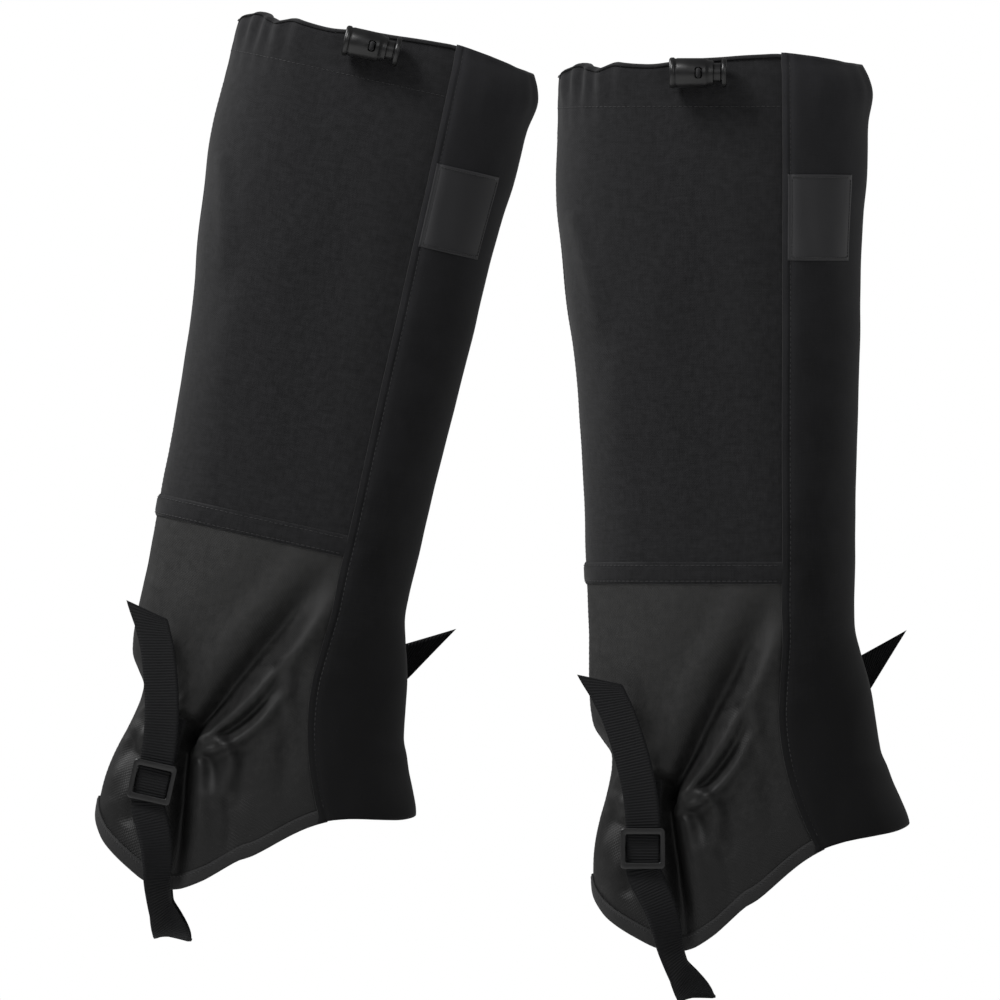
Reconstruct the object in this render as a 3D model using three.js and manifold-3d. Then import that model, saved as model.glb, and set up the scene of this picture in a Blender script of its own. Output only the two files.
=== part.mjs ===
// A pair of hiking gaiters, as worn in mid stride. Millimetres, +Z up, +X towards the toe.
// -Y is the side that carries the free edge of the front flap. Each gaiter is built once in its
// own leg frame (z = 0 under the instep strap, x = 0 near the middle of the leg) and placed twice.
import * as THREE from 'three';
import { mergeVertices } from 'three/addons/utils/BufferGeometryUtils.js';
import Module from 'manifold-3d';

const wasm = await Module();
wasm.setup();

// ---------- driving dimensions ----------
const TOP_Z = 484; // top of the fabric
const BAND_Z = 220.5; // join of the upper and lower panels
const NOTCH_Z = 130; // heel notch of the ankle
const TOP_HALF_WIDTH = 60; // half the width across the leg at the calf
const ANKLE_HALF_WIDTH = 44; // the same at the ankle
const PANEL = 1.0; // thickness of the panel fabric
const TRIM = 0.8; // thickness of tapes, strips and bindings
const LAYER_GAP = 0.5; // clearance between sewn layers
const BUTT_GAP = 0.4; // clearance where two panels meet edge to edge
const BAND_HEIGHT = 11;
const CASING_HEIGHT = 20;
const FLAP_EDGE_X = 31.5; // free edge of the flap
const FLAP_SEAM_Y = 20; // sewn edge of the flap, on the far side of the shin
const FLAP_RISE = 3.5; // the flap stands this much above the fabric top
const TUCK_DEG = 33; // the outer panels run this far under the flap
const STRIP_DEG = [5, 23]; // hook-and-loop strips, from the flap's free edge
const LABEL_X = [35.5, 67]; // label patch
const LABEL_Z = [383, 427];
const BINDING_WIDTH = 7;
const ELASTIC_DEG = 54; // the ankle elastic reaches this far each side of the heel
const HOOK_WIDTH = 7; // lace hook
const CORD_R = 1.25;
const LOCK_R = 7.7; // barrel of the cord lock
const LOCK_LENGTH = 23;
const LOCK_WALL = 2.4;
const LOCK_X = -16.5; // middle of the barrel
const LOCK_HOLE_X = -13; // cord hole
const LOCK_TRAVEL = 4; // push of the button
const LOCK_PULL = 3; // free cord in front of the lock
const SLIDE_FIT = 0.3; // clearance of moving plastic pieces
const WEB_WIDTH = 18;
const WEB_THICK = 1.6;
const WEB_FIT = 0.45; // clearance of the webbing in a buckle
const BUCKLE_HEIGHT = 21;
const BUCKLE_SIDE = 2.1;
const BUCKLE_BAR = 3.2;
const BUCKLE_THICK = 2.4;
const BUCKLE_BAR_R = 1.2;
const TAB_THICK = 1.0;
const STRAP_STANDOFF = 10.5; // webbing centre outside the ankle's widest point
const TAB_X = -33;
const TAB_Z = 110;
const OUTER_BUCKLE = { x: -41.5, z: 78 };
const INNER_BUCKLE = { x: -37, z: 80 };
const LEAN_DEG = 12.6; // forward lean of the rear gaiter
const REAR_OFFSET = { x: -274.5, y: 180, z: 25.5 };

// ---------- leg surface ----------
const SECTION_POWER = 2.5; // superellipse exponent of a horizontal section
const FACET_DEG = 15;
const aboveBand = (f) => BAND_Z + f * (TOP_Z - BAND_Z);
const halfWidth = (f) => ANKLE_HALF_WIDTH + f * (TOP_HALF_WIDTH - ANKLE_HALF_WIDTH);
// height, calf side, shin side and half width of each station
const STATIONS = [
  { z: 20, back: -70, front: 99, half: halfWidth(0.08) },
  { z: 90, back: -63.5, front: 96.5, half: halfWidth(0) },
  { z: 112, back: -58.5, front: 89, half: halfWidth(0) },
  { z: NOTCH_Z, back: -57.5, front: 82, half: halfWidth(0.04) },
  { z: 143, back: -66, front: 79, half: halfWidth(0.1) },
  { z: 158, back: -69, front: 75.5, half: halfWidth(0.16) },
  { z: 186, back: -69.5, front: 69.5, half: halfWidth(0.26) },
  { z: BAND_Z, back: -71, front: 68.5, half: halfWidth(0.4) },
  { z: aboveBand(0.24), back: -73.5, front: 69, half: halfWidth(0.58) },
  { z: aboveBand(0.51), back: -80, front: 71, half: halfWidth(0.8) },
  { z: aboveBand(0.78), back: -85.5, front: 74.5, half: halfWidth(0.95) },
  { z: TOP_Z, back: -84, front: 73, half: halfWidth(1) },
  { z: TOP_Z + 20, back: -84, front: 73, half: halfWidth(1) },
];

function station(z) {
  let i = 0;
  while (i < STATIONS.length - 2 && z > STATIONS[i + 1].z) i += 1;
  const low = STATIONS[i];
  const high = STATIONS[i + 1];
  const f = (z - low.z) / (high.z - low.z);
  const back = THREE.MathUtils.lerp(low.back, high.back, f);
  const front = THREE.MathUtils.lerp(low.front, high.front, f);
  const half = THREE.MathUtils.lerp(low.half, high.half, f);
  return { mid: (back + front) / 2, deep: (front - back) / 2, half };
}

const bend = (v, power) => Math.sign(v) * Math.abs(v) ** power;

// exact point at angle t (degrees, 0 at the shin, 90 at the -Y side, 180 at the calf)
function roundPoint(t, z, offset) {
  const s = station(z);
  const c = Math.cos(THREE.MathUtils.degToRad(t));
  const n = Math.sin(THREE.MathUtils.degToRad(t));
  const x = bend(c, 2 / SECTION_POWER);
  const y = bend(n, 2 / SECTION_POWER);
  const nx = bend(c, 2 - 2 / SECTION_POWER) / s.deep;
  const ny = bend(n, 2 - 2 / SECTION_POWER) / s.half;
  const len = Math.hypot(nx, ny);
  return new THREE.Vector3(
    s.mid + s.deep * x + (offset * nx) / len,
    -(s.half * y + (offset * ny) / len),
    z,
  );
}

// the same on the shared facets, so that layers of fabric nest
function surfacePoint(t, z, offset) {
  const low = Math.floor(t / FACET_DEG + 1e-9) * FACET_DEG;
  const f = (t - low) / FACET_DEG;
  return roundPoint(low, z, offset).lerp(roundPoint(low + FACET_DEG, z, offset), f);
}

const angleOfX = (x, z) => {
  const s = station(z);
  const c = (x - s.mid) / s.deep;
  return THREE.MathUtils.radToDeg(Math.acos(bend(c, SECTION_POWER / 2)));
};

const angleOfY = (y, z) => {
  const n = y / station(z).half;
  return THREE.MathUtils.radToDeg(Math.asin(bend(n, SECTION_POWER / 2)));
};

const hemCurve = new THREE.SplineCurve(
  [
    [0, 90], [32, 86], [58, 80], [76, 66], [93, 46],
    [112, 27.5], [121, 24.5], [133, 27], [152, 40], [180, 57],
  ].map(([t, z]) => new THREE.Vector2(t, z)),
);
const hemPoints = hemCurve.getPoints(90);

function smoothHem(t) {
  const turn = Math.abs(((t + 180) % 360 + 360) % 360 - 180);
  const i = Math.max(1, hemPoints.findIndex((p) => p.x >= turn - 1e-6));
  const a = hemPoints[i - 1];
  const b = hemPoints[i];
  return THREE.MathUtils.lerp(a.y, b.y, (turn - a.x) / (b.x - a.x));
}

function hemZ(t) {
  const low = Math.floor(t / FACET_DEG + 1e-9) * FACET_DEG;
  return THREE.MathUtils.lerp(smoothHem(low), smoothHem(low + FACET_DEG), (t - low) / FACET_DEG);
}

// front edge of the flap: straight above the ankle, swept forward below it
function flapEdgeX(z) {
  const sweep = THREE.MathUtils.clamp((150 - z) / 71, 0, 1);
  return FLAP_EDGE_X + 18.5 * sweep * sweep;
}

// ---------- builders ----------
const asFunction = (v) => (typeof v === 'function' ? v : () => v);

// A sheet wrapped on the leg. columns are angles or functions of z, rows give [z, offset] on the
// side nearest the leg and on the other side, as values or functions of the angle.
function wrap(columns, nearRows, farRows) {
  const cols = columns.map(asFunction);
  const near = nearRows.map(asFunction);
  const far = farRows.map(asFunction);
  const geometry = new THREE.BoxGeometry(1, 1, 1, cols.length - 1, near.length - 1, 1);
  const position = geometry.attributes.position;
  for (let k = 0; k < position.count; k += 1) {
    const i = Math.round((0.5 - position.getX(k)) * (cols.length - 1));
    const j = Math.round((0.5 + position.getY(k)) * (near.length - 1));
    const row = position.getZ(k) < 0 ? near[j] : far[j];
    let t = cols[i](BAND_Z);
    for (let pass = 0; pass < 6; pass += 1) t = cols[i](row(t)[0]);
    const [z, offset] = row(t);
    const p = surfacePoint(t, z, offset);
    position.setXYZ(k, p.x, p.y, p.z);
  }
  return geometry;
}

// angles from one edge to another, with every facet line between them; where an edge is slanted,
// the lines near it are pushed along by it
function columnsBetween(from, to) {
  const start = asFunction(from);
  const end = asFunction(to);
  const heights = STATIONS.map((s) => s.z);
  const lowest = Math.min(...heights.map(start));
  const highest = Math.max(...heights.map(end));
  const lines = [];
  for (let t = Math.ceil((lowest + 0.5) / FACET_DEG) * FACET_DEG; t < highest; t += FACET_DEG) lines.push(t);
  const push = 0.8;
  const mids = lines.map((t, i) => (z) => {
    return THREE.MathUtils.clamp(t, start(z) + push * (i + 1), end(z) - push * (lines.length - i));
  });
  return [from, ...mids, to];
}

function layer(columns, heights, near, far) {
  const level = (z, d) => (t) => [asFunction(z)(t), asFunction(d)(t)];
  return wrap(columns, heights.map((z) => level(z, near)), heights.map((z) => level(z, far)));
}

function flatClosed(geometry) {
  const g = geometry.clone();
  g.deleteAttribute('normal');
  g.deleteAttribute('uv');
  return mergeVertices(g, 1e-5);
}

function solid(geometry) {
  const g = flatClosed(geometry);
  return new wasm.Manifold(
    new wasm.Mesh({
      numProp: 3,
      vertProperties: new Float32Array(g.attributes.position.array),
      triVerts: new Uint32Array(g.index.array),
    }),
  );
}

function fromSolid(manifold) {
  const mesh = manifold.getMesh();
  const geometry = new THREE.BufferGeometry();
  geometry.setAttribute('position', new THREE.BufferAttribute(new Float32Array(mesh.vertProperties), 3));
  geometry.setIndex(new THREE.BufferAttribute(new Uint32Array(mesh.triVerts), 1));
  geometry.computeVertexNormals();
  return geometry;
}

function block(x, y, z, width, depth, height) {
  return new THREE.BoxGeometry(width, depth, height).translate(x, y, z);
}

// A flat ribbon. points: {at: [x, y, z], out: [x, y, z], slant: end cut}. A ribbon whose edge
// direction is given bends only about that direction, and doesn't twist.
function ribbon(points, width, thick, steps, edge = null) {
  const centres = points.map((p) => new THREE.Vector3(...p.at));
  const path = new THREE.CatmullRomCurve3(centres, false, 'centripetal');
  const outs = points.map((p) => new THREE.Vector3(...p.out).normalize());
  const geometry = new THREE.BoxGeometry(1, 1, 1, 1, steps, 1);
  const position = geometry.attributes.position;
  for (let k = 0; k < position.count; k += 1) {
    const u = THREE.MathUtils.clamp(position.getY(k) + 0.5, 0, 1);
    const span = u * (points.length - 1);
    const i = Math.min(Math.floor(span), points.length - 2);
    const out = outs[i].clone().lerp(outs[i + 1], span - i).normalize();
    const centre = path.getPoint(u);
    const along = path.getTangent(u);
    const across = edge ? edge.clone() : along.clone().cross(out).normalize();
    const face = across.clone().cross(along).normalize();
    const x = position.getX(k);
    const slant = u === 0 ? points[0].slant ?? 0 : u === 1 ? points[points.length - 1].slant ?? 0 : 0;
    centre.addScaledVector(across, x * width);
    centre.addScaledVector(along, x * slant);
    centre.addScaledVector(face, position.getZ(k) * thick);
    position.setXYZ(k, centre.x, centre.y, centre.z);
  }
  return geometry;
}

// a curve whose steps fall on its own points
class KnotCurve extends THREE.CatmullRomCurve3 {
  constructor(points) {
    super(points, false, 'centripetal');
  }

  getPointAt(u, target) {
    return this.getPoint(u, target);
  }

  getTangentAt(u, target) {
    return this.getTangent(u, target);
  }
}

function circle(radius, sides) {
  const shape = new THREE.Shape();
  for (let i = 0; i < sides; i += 1) {
    const a = (i / sides) * Math.PI * 2;
    const method = i === 0 ? 'moveTo' : 'lineTo';
    shape[method](radius * Math.cos(a), radius * Math.sin(a));
  }
  shape.closePath();
  return shape;
}

function tube(curve, radius, steps, sides) {
  return new THREE.ExtrudeGeometry(circle(radius, sides), { extrudePath: curve, steps, bevelEnabled: false });
}

// lathe profile of [radius, height] pairs; the turned piece's axis is +Y
function turned(profile, segments) {
  return new THREE.LatheGeometry(profile.map(([r, h]) => new THREE.Vector2(r, h)), segments);
}

// ---------- materials ----------
const paint = (color, roughness, metalness = 0) => {
  return new THREE.MeshStandardMaterial({ color, roughness, metalness });
};
const MATERIALS = {
  upper: paint(0x252527, 0.9),
  lower: paint(0x303030, 0.6),
  flap: paint(0x1c1c1e, 0.85),
  label: paint(0x2d2d2f, 0.7),
  trim: paint(0x202022, 0.85),
  webbing: paint(0x1e1f21, 0.7),
  plastic: paint(0x1b1b1c, 0.4),
  elastic: paint(0x18181a, 0.8),
  steel: paint(0x8c8f92, 0.3, 1),
};

// ---------- one gaiter ----------
function gaiter(side) {
  const group = new THREE.Group();
  const add = (name, geometry, material) => {
    const mesh = new THREE.Mesh(geometry, MATERIALS[material]);
    mesh.name = `${side}_${name}`;
    group.add(mesh);
  };

  // offsets of the layers from the leg side of the panels
  const overPanel = PANEL + LAYER_GAP;
  const overLoop = overPanel + TRIM + LAYER_GAP;
  const flapIn = overLoop + TRIM + LAYER_GAP;
  const panelTop = TOP_Z - TRIM - LAYER_GAP;
  const upperLevels = STATIONS.filter((s) => s.z > BAND_Z + 1 && s.z < panelTop).map((s) => s.z);
  const lowerLevels = STATIONS.filter((s) => s.z > 100 && s.z < BAND_Z - 1).map((s) => s.z);
  const bindingTop = (t) => hemZ(t) + BINDING_WIDTH;
  const hemRise = (f) => (t) => THREE.MathUtils.lerp(bindingTop(t), lowerLevels[0], f);
  const belowJoin = BAND_Z - BUTT_GAP / 2;
  const aboveJoin = BAND_Z + BUTT_GAP / 2;

  // edges, as angles at a height
  const seamHalfGap = 0.35;
  const flapFree = (z) => angleOfX(flapEdgeX(z), z);
  const tuck = (z) => flapFree(z) - TUCK_DEG;
  const flapSewn = (z) => -angleOfY(FLAP_SEAM_Y, z);
  const innerFront = (z) => -angleOfY(FLAP_SEAM_Y + 2 * BUTT_GAP, z);
  const outerColumns = columnsBetween(tuck, 180 - seamHalfGap);
  const innerColumns = columnsBetween(180 + seamHalfGap, (z) => 360 + innerFront(z));
  const roundColumns = columnsBetween(tuck, (z) => 360 + innerFront(z));

  // panels
  const lockHoleT = angleOfX(LOCK_HOLE_X, TOP_Z);
  const cordZ = TOP_Z - 4.5;
  const fabricY = surfacePoint(lockHoleT, cordZ, 0).y;
  const strandRise = CORD_R + SLIDE_FIT / 2;
  const eyeletBore = strandRise + CORD_R + SLIDE_FIT;
  const eyeletNeck = eyeletBore + 0.8;
  const eyeletFlange = eyeletNeck + 1.8;
  const upperOuter = solid(layer(outerColumns, [aboveJoin, ...upperLevels, panelTop], 0, PANEL));
  const cutter = new THREE.CylinderGeometry(eyeletNeck + SLIDE_FIT, eyeletNeck + SLIDE_FIT, 20, 16);
  cutter.translate(LOCK_HOLE_X, fabricY, cordZ);
  add('upper_outer_panel', fromSolid(upperOuter.subtract(solid(cutter))), 'upper');
  add('upper_inner_panel', layer(innerColumns, [aboveJoin, ...upperLevels, panelTop], 0, PANEL), 'upper');
  const lowerRows = [hemZ, bindingTop, hemRise(0.5), ...lowerLevels, belowJoin];
  add('lower_outer_panel', layer(outerColumns, lowerRows, 0, PANEL), 'lower');
  add('lower_inner_panel', layer(innerColumns, lowerRows, 0, PANEL), 'lower');

  // band over the join of the panels
  const bandLow = BAND_Z - BAND_HEIGHT / 2;
  const bandColumns = columnsBetween((z) => flapFree(z) - 3, (z) => 360 + innerFront(z));
  const bandRows = [bandLow, BAND_Z, bandLow + BAND_HEIGHT];
  add('joining_band', layer(bandColumns, bandRows, overPanel, overPanel + PANEL), 'upper');

  // turned-over casing with the drawcord inside it
  const channel = 2 * CORD_R + 2 * LAYER_GAP + 0.6;
  const casingLow = TOP_Z - CASING_HEIGHT;
  const casingLeg = [
    [casingLow, -LAYER_GAP - TRIM],
    [casingLow + 3, -channel - TRIM],
    [TOP_Z, -channel - TRIM],
    [TOP_Z + TRIM, PANEL],
  ];
  const casingCord = [
    [casingLow, -LAYER_GAP],
    [casingLow + 4, -channel],
    [TOP_Z - TRIM, -channel],
    [TOP_Z, PANEL],
  ];
  add('top_casing', wrap(roundColumns, casingLeg, casingCord), 'upper');

  // back seam tape and ankle elastic, inside
  const tapeTop = casingLow - 3;
  const tapeHalf = 7;
  const tapeLevels = [...lowerLevels, BAND_Z, ...upperLevels].filter((z) => z < tapeTop);
  const tapeRows = [hemRise(0.25), hemRise(0.5), ...tapeLevels, tapeTop];
  const tapeIn = -LAYER_GAP - TRIM;
  add('back_seam_tape', layer([180 - tapeHalf, 180, 180 + tapeHalf], tapeRows, tapeIn, -LAYER_GAP), 'trim');
  const elasticOut = tapeIn - LAYER_GAP;
  const elasticRows = [NOTCH_Z - 9, NOTCH_Z, NOTCH_Z + 9];
  const elasticColumns = columnsBetween(180 - ELASTIC_DEG, 180 + ELASTIC_DEG);
  add('ankle_elastic', layer(elasticColumns, elasticRows, elasticOut - PANEL, elasticOut), 'elastic');

  // bound hem: a folded strip round the bottom edge of both lower panels
  const hemNear = LAYER_GAP;
  const legTurn = (t) => [hemZ(t) - hemNear, -hemNear];
  const outTurn = (t) => [hemZ(t) - hemNear, PANEL + hemNear];
  const bindingPanelSide = [
    (t) => [bindingTop(t), -hemNear],
    legTurn,
    outTurn,
    (t) => [bindingTop(t), PANEL + hemNear],
  ];
  const bindingFarSide = [
    (t) => [bindingTop(t), -hemNear - TRIM],
    (t) => [hemZ(t) - hemNear - TRIM, -hemNear - TRIM],
    (t) => [hemZ(t) - hemNear - TRIM, PANEL + hemNear + TRIM],
    (t) => [bindingTop(t), PANEL + hemNear + TRIM],
  ];
  const bindingColumns = columnsBetween((z) => flapFree(z) - 3, (z) => 360 + innerFront(z));
  add('hem_binding', wrap(bindingColumns, bindingPanelSide, bindingFarSide), 'trim');

  // front flap, sewn on the far side of the shin and closed by hook and loop
  const flapRise = (t) => {
    const f = THREE.MathUtils.clamp((t + 14) / 28, 0, 1);
    return THREE.MathUtils.lerp(PANEL * 0.4, flapIn, f);
  };
  const flapOut = (t) => flapRise(t) + PANEL;
  const flapTop = TOP_Z + FLAP_RISE;
  const flapColumns = columnsBetween(flapSewn, flapFree);
  const flapRows = [hemZ, bindingTop, hemRise(0.5), ...lowerLevels, BAND_Z, ...upperLevels, flapTop];
  add('front_flap', layer(flapColumns, flapRows, flapRise, flapOut), 'flap');
  const stripColumns = columnsBetween((z) => flapFree(z) - STRIP_DEG[1], (z) => flapFree(z) - STRIP_DEG[0]);
  const stripLow = 112;
  const stripTop = casingLow;
  const stripLevels = [...lowerLevels, BAND_Z, ...upperLevels].filter((z) => z > stripLow && z < stripTop);
  const stripRows = [stripLow, ...stripLevels, stripTop];
  add('panel_loop_strip', layer(stripColumns, stripRows, overPanel, overPanel + TRIM), 'trim');
  add('flap_hook_strip', layer(stripColumns, stripRows, overLoop, overLoop + TRIM), 'trim');
  const labelColumns = columnsBetween((z) => angleOfX(LABEL_X[1], z), (z) => angleOfX(LABEL_X[0], z));
  const labelIn = flapIn + PANEL + LAYER_GAP;
  const labelRows = [LABEL_Z[0], ...upperLevels.filter((z) => z > LABEL_Z[0] && z < LABEL_Z[1]), LABEL_Z[1]];
  add('label_patch', layer(labelColumns, labelRows, labelIn, labelIn + TRIM), 'label');

  // lace hook on a short tab inside the flap's foot
  const hookTop = 120;
  const hookLow = hookTop - 21;
  const hookThick = 1.2;
  const hookBend = 4.4;
  const hookAt = station(hookTop).mid + station(hookTop).deep;
  const tabIn = (t) => flapRise(t) - LAYER_GAP - PANEL;
  const tabOut = (t) => flapRise(t) - LAYER_GAP;
  add('lace_hook_tab', layer([2, 12], [hookTop - 16, 112, hookTop + 4], tabIn, tabOut), 'trim');
  const hookShape = new THREE.Shape();
  hookShape.moveTo(hookAt, hookTop);
  hookShape.lineTo(hookAt, hookLow);
  hookShape.absarc(hookAt - hookBend, hookLow, hookBend, 0, -Math.PI, true);
  hookShape.lineTo(hookAt - 2 * hookBend, hookLow + 7);
  hookShape.lineTo(hookAt - 2 * hookBend + hookThick, hookLow + 7);
  hookShape.lineTo(hookAt - 2 * hookBend + hookThick, hookLow);
  hookShape.absarc(hookAt - hookBend, hookLow, hookBend - hookThick, Math.PI, 2 * Math.PI, false);
  hookShape.lineTo(hookAt - hookThick, hookTop);
  hookShape.closePath();
  const hookBody = { depth: HOOK_WIDTH, bevelEnabled: false, curveSegments: 6 };
  const hook = new THREE.ExtrudeGeometry(hookShape, hookBody);
  hook.rotateX(Math.PI / 2).translate(0, -2.5, 0);
  add('lace_hook', hook, 'steel');

  // eyelet, cord lock and drawcord
  const eyeletNear = fabricY + 0.3;
  const eyeletFar = fabricY - PANEL - 1.6;
  const eyelet = turned(
    [
      [eyeletBore, eyeletFar], [eyeletFlange, eyeletFar], [eyeletFlange, eyeletFar + TRIM],
      [eyeletNeck, eyeletFar + TRIM], [eyeletNeck, eyeletNear], [eyeletBore, eyeletNear],
      [eyeletBore, eyeletFar],
    ],
    12,
  );
  add('cord_eyelet', eyelet.translate(LOCK_HOLE_X, 0, cordZ), 'steel');

  const lockY = eyeletFar - LAYER_GAP - LOCK_R;
  const lockStart = LOCK_X - LOCK_LENGTH / 2;
  const lockEnd = LOCK_X + LOCK_LENGTH / 2;
  const boreR = LOCK_R - LOCK_WALL;
  const boreStart = lockStart + 2;
  const placeLock = (geometry) => geometry.rotateZ(-Math.PI / 2).translate(0, lockY, cordZ);
  const barrel = turned(
    [
      [0, lockStart], [LOCK_R - 1, lockStart], [LOCK_R + 0.3, lockStart + 1], [LOCK_R + 0.3, lockStart + 2.6],
      [LOCK_R, lockStart + 3], [LOCK_R, lockEnd - 2.6], [LOCK_R - 1.5, lockEnd], [boreR, lockEnd],
      [boreR, boreStart], [0, boreStart],
    ],
    16,
  );
  const cordHalf = CORD_R + SLIDE_FIT;
  const holeHeight = 2 * (strandRise + cordHalf);
  const bodyHole = block(LOCK_HOLE_X - 1, lockY, cordZ, 2 * cordHalf + 2, 2 * LOCK_R + 4, holeHeight);
  add('cord_lock_body', fromSolid(solid(placeLock(barrel)).subtract(solid(bodyHole))), 'plastic');

  const plungerR = boreR - SLIDE_FIT;
  const plungerStart = LOCK_HOLE_X - cordHalf - 2;
  const discStart = lockEnd + LOCK_TRAVEL + 0.2;
  const plunger = turned(
    [
      [0, plungerStart], [plungerR, plungerStart], [plungerR, discStart], [LOCK_R - 0.8, discStart],
      [LOCK_R, discStart + 0.6], [LOCK_R, discStart + 1.8], [LOCK_R - 1.2, discStart + 2.6],
      [0, discStart + 2.6],
    ],
    16,
  );
  const slotLength = 2 * cordHalf + LOCK_TRAVEL;
  const plungerSlot = block(LOCK_HOLE_X + LOCK_TRAVEL / 2, lockY, cordZ, slotLength, 2 * LOCK_R, holeHeight);
  add('cord_lock_button', fromSolid(solid(placeLock(plunger)).subtract(solid(plungerSlot))), 'plastic');

  const springFrom = boreStart + 0.8;
  const springTo = plungerStart - 0.8;
  const springR = boreR - 1.2;
  class Helix extends THREE.Curve {
    getPoint(u, target = new THREE.Vector3()) {
      const a = u * 3.5 * Math.PI * 2;
      const x = THREE.MathUtils.lerp(springFrom, springTo, u);
      return target.set(x, lockY + springR * Math.cos(a), cordZ + springR * Math.sin(a));
    }
  }
  add('cord_lock_spring', tube(new Helix(), 0.4, 28, 4), 'steel');

  // one elastic cord: sewn under the flap, out through the lock and back, round the calf
  const cordIn = -channel / 2;
  const lowZ = cordZ - strandRise;
  const highZ = cordZ + strandRise;
  const cordPoints = [];
  const ring = (from, to, z) => {
    columnsBetween(from, to).map(asFunction).forEach((t) => cordPoints.push(surfacePoint(t(z), z, cordIn)));
  };
  const strand = (x, y, z) => cordPoints.push(new THREE.Vector3(LOCK_HOLE_X + x, y, z));
  const cordFront = lockY - LOCK_R - LOCK_PULL;
  const turnDeg = 6;
  ring(tuck(TOP_Z) + 4, lockHoleT - turnDeg, lowZ);
  strand(3.6, fabricY - cordIn, lowZ);
  strand(1.4, fabricY + 1.4, lowZ);
  strand(0, fabricY - 0.6, lowZ);
  strand(0, lockY, lowZ);
  for (let a = 0; a <= 180; a += 45) {
    const turn = THREE.MathUtils.degToRad(a);
    strand(0, cordFront - strandRise * Math.sin(turn), cordZ - strandRise * Math.cos(turn));
  }
  strand(0, lockY, highZ);
  strand(0, fabricY - 0.6, highZ);
  strand(-1.4, fabricY + 1.4, highZ);
  strand(-3.6, fabricY - cordIn, highZ);
  ring(lockHoleT + turnDeg, 360 + innerFront(TOP_Z) - 4, highZ);
  add('drawcord', tube(new KnotCurve(cordPoints), CORD_R, cordPoints.length - 1, 6), 'elastic');

  // instep strap, buckles and tabs
  const webY = ANKLE_HALF_WIDTH + STRAP_STANDOFF;
  const outerOut = [0, -1, 0];
  const innerOut = [0, 1, 0];
  const underZ = WEB_THICK / 2;
  const underX = -12.5;
  const strapPoints = [
    { at: [-66, -webY + 17, 166], out: [-0.75, -0.65, 0.1], slant: 5 },
    { at: [-57.5, -webY + 12, 151], out: [-0.45, -0.9, 0] },
    { at: [-50, -webY + 6, 135], out: [-0.2, -1, 0] },
    { at: [-44.5, -webY + 1.5, 117], out: outerOut },
    { at: [OUTER_BUCKLE.x - 0.4, -webY, OUTER_BUCKLE.z + 20], out: outerOut },
    { at: [OUTER_BUCKLE.x, -webY, OUTER_BUCKLE.z + 10], out: outerOut },
    { at: [OUTER_BUCKLE.x, -webY, OUTER_BUCKLE.z], out: outerOut },
    { at: [OUTER_BUCKLE.x, -webY, OUTER_BUCKLE.z - 11], out: outerOut },
    { at: [-38.5, -webY, 55], out: [0.15, -1, 0] },
    { at: [-34, -webY, 42], out: [0.45, -0.9, 0] },
    { at: [-29, -webY + 1, 29], out: [0.55, -0.83, 0] },
    { at: [-23, -webY + 4.5, 15], out: [0.4, -0.85, -0.3] },
    { at: [-18, -webY + 10.5, 6], out: [0.15, -0.7, -0.7] },
    { at: [underX - 2, -webY + 17, underZ + 1.2], out: [0.05, -0.25, -0.95] },
    { at: [underX - 0.5, -webY + 24, underZ], out: [0, 0, -1] },
    { at: [underX, -webY + 32, underZ], out: [0, 0, -1] },
    { at: [underX, webY - 32, underZ], out: [0, 0, -1] },
    { at: [underX - 0.5, webY - 24, underZ], out: [0, 0, -1] },
    { at: [underX - 2, webY - 17, underZ + 1.2], out: [0, 0.25, -0.95] },
    { at: [-18, webY - 10.5, 6], out: [0, 0.7, -0.7] },
    { at: [-23, webY - 3, 22], out: [0, 0.95, -0.25] },
    { at: [-32, webY, 45], out: innerOut },
    { at: [INNER_BUCKLE.x, webY, INNER_BUCKLE.z - 12], out: innerOut },
    { at: [INNER_BUCKLE.x, webY, INNER_BUCKLE.z], out: innerOut },
    { at: [INNER_BUCKLE.x, webY, INNER_BUCKLE.z + 12], out: innerOut },
    { at: [-33, webY, 103], out: innerOut },
    { at: [-20, webY, 116], out: innerOut },
    { at: [6, webY, 129], out: innerOut },
    { at: [38, webY, 147], out: innerOut },
    { at: [70, webY - 3, 168], out: [0.2, 1, 0] },
    { at: [95, webY - 8, 187], out: [0.6, 0.8, 0.1], slant: 14 },
  ];
  add('instep_strap', ribbon(strapPoints, WEB_WIDTH, WEB_THICK, 2 * (strapPoints.length - 1)), 'webbing');

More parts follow.
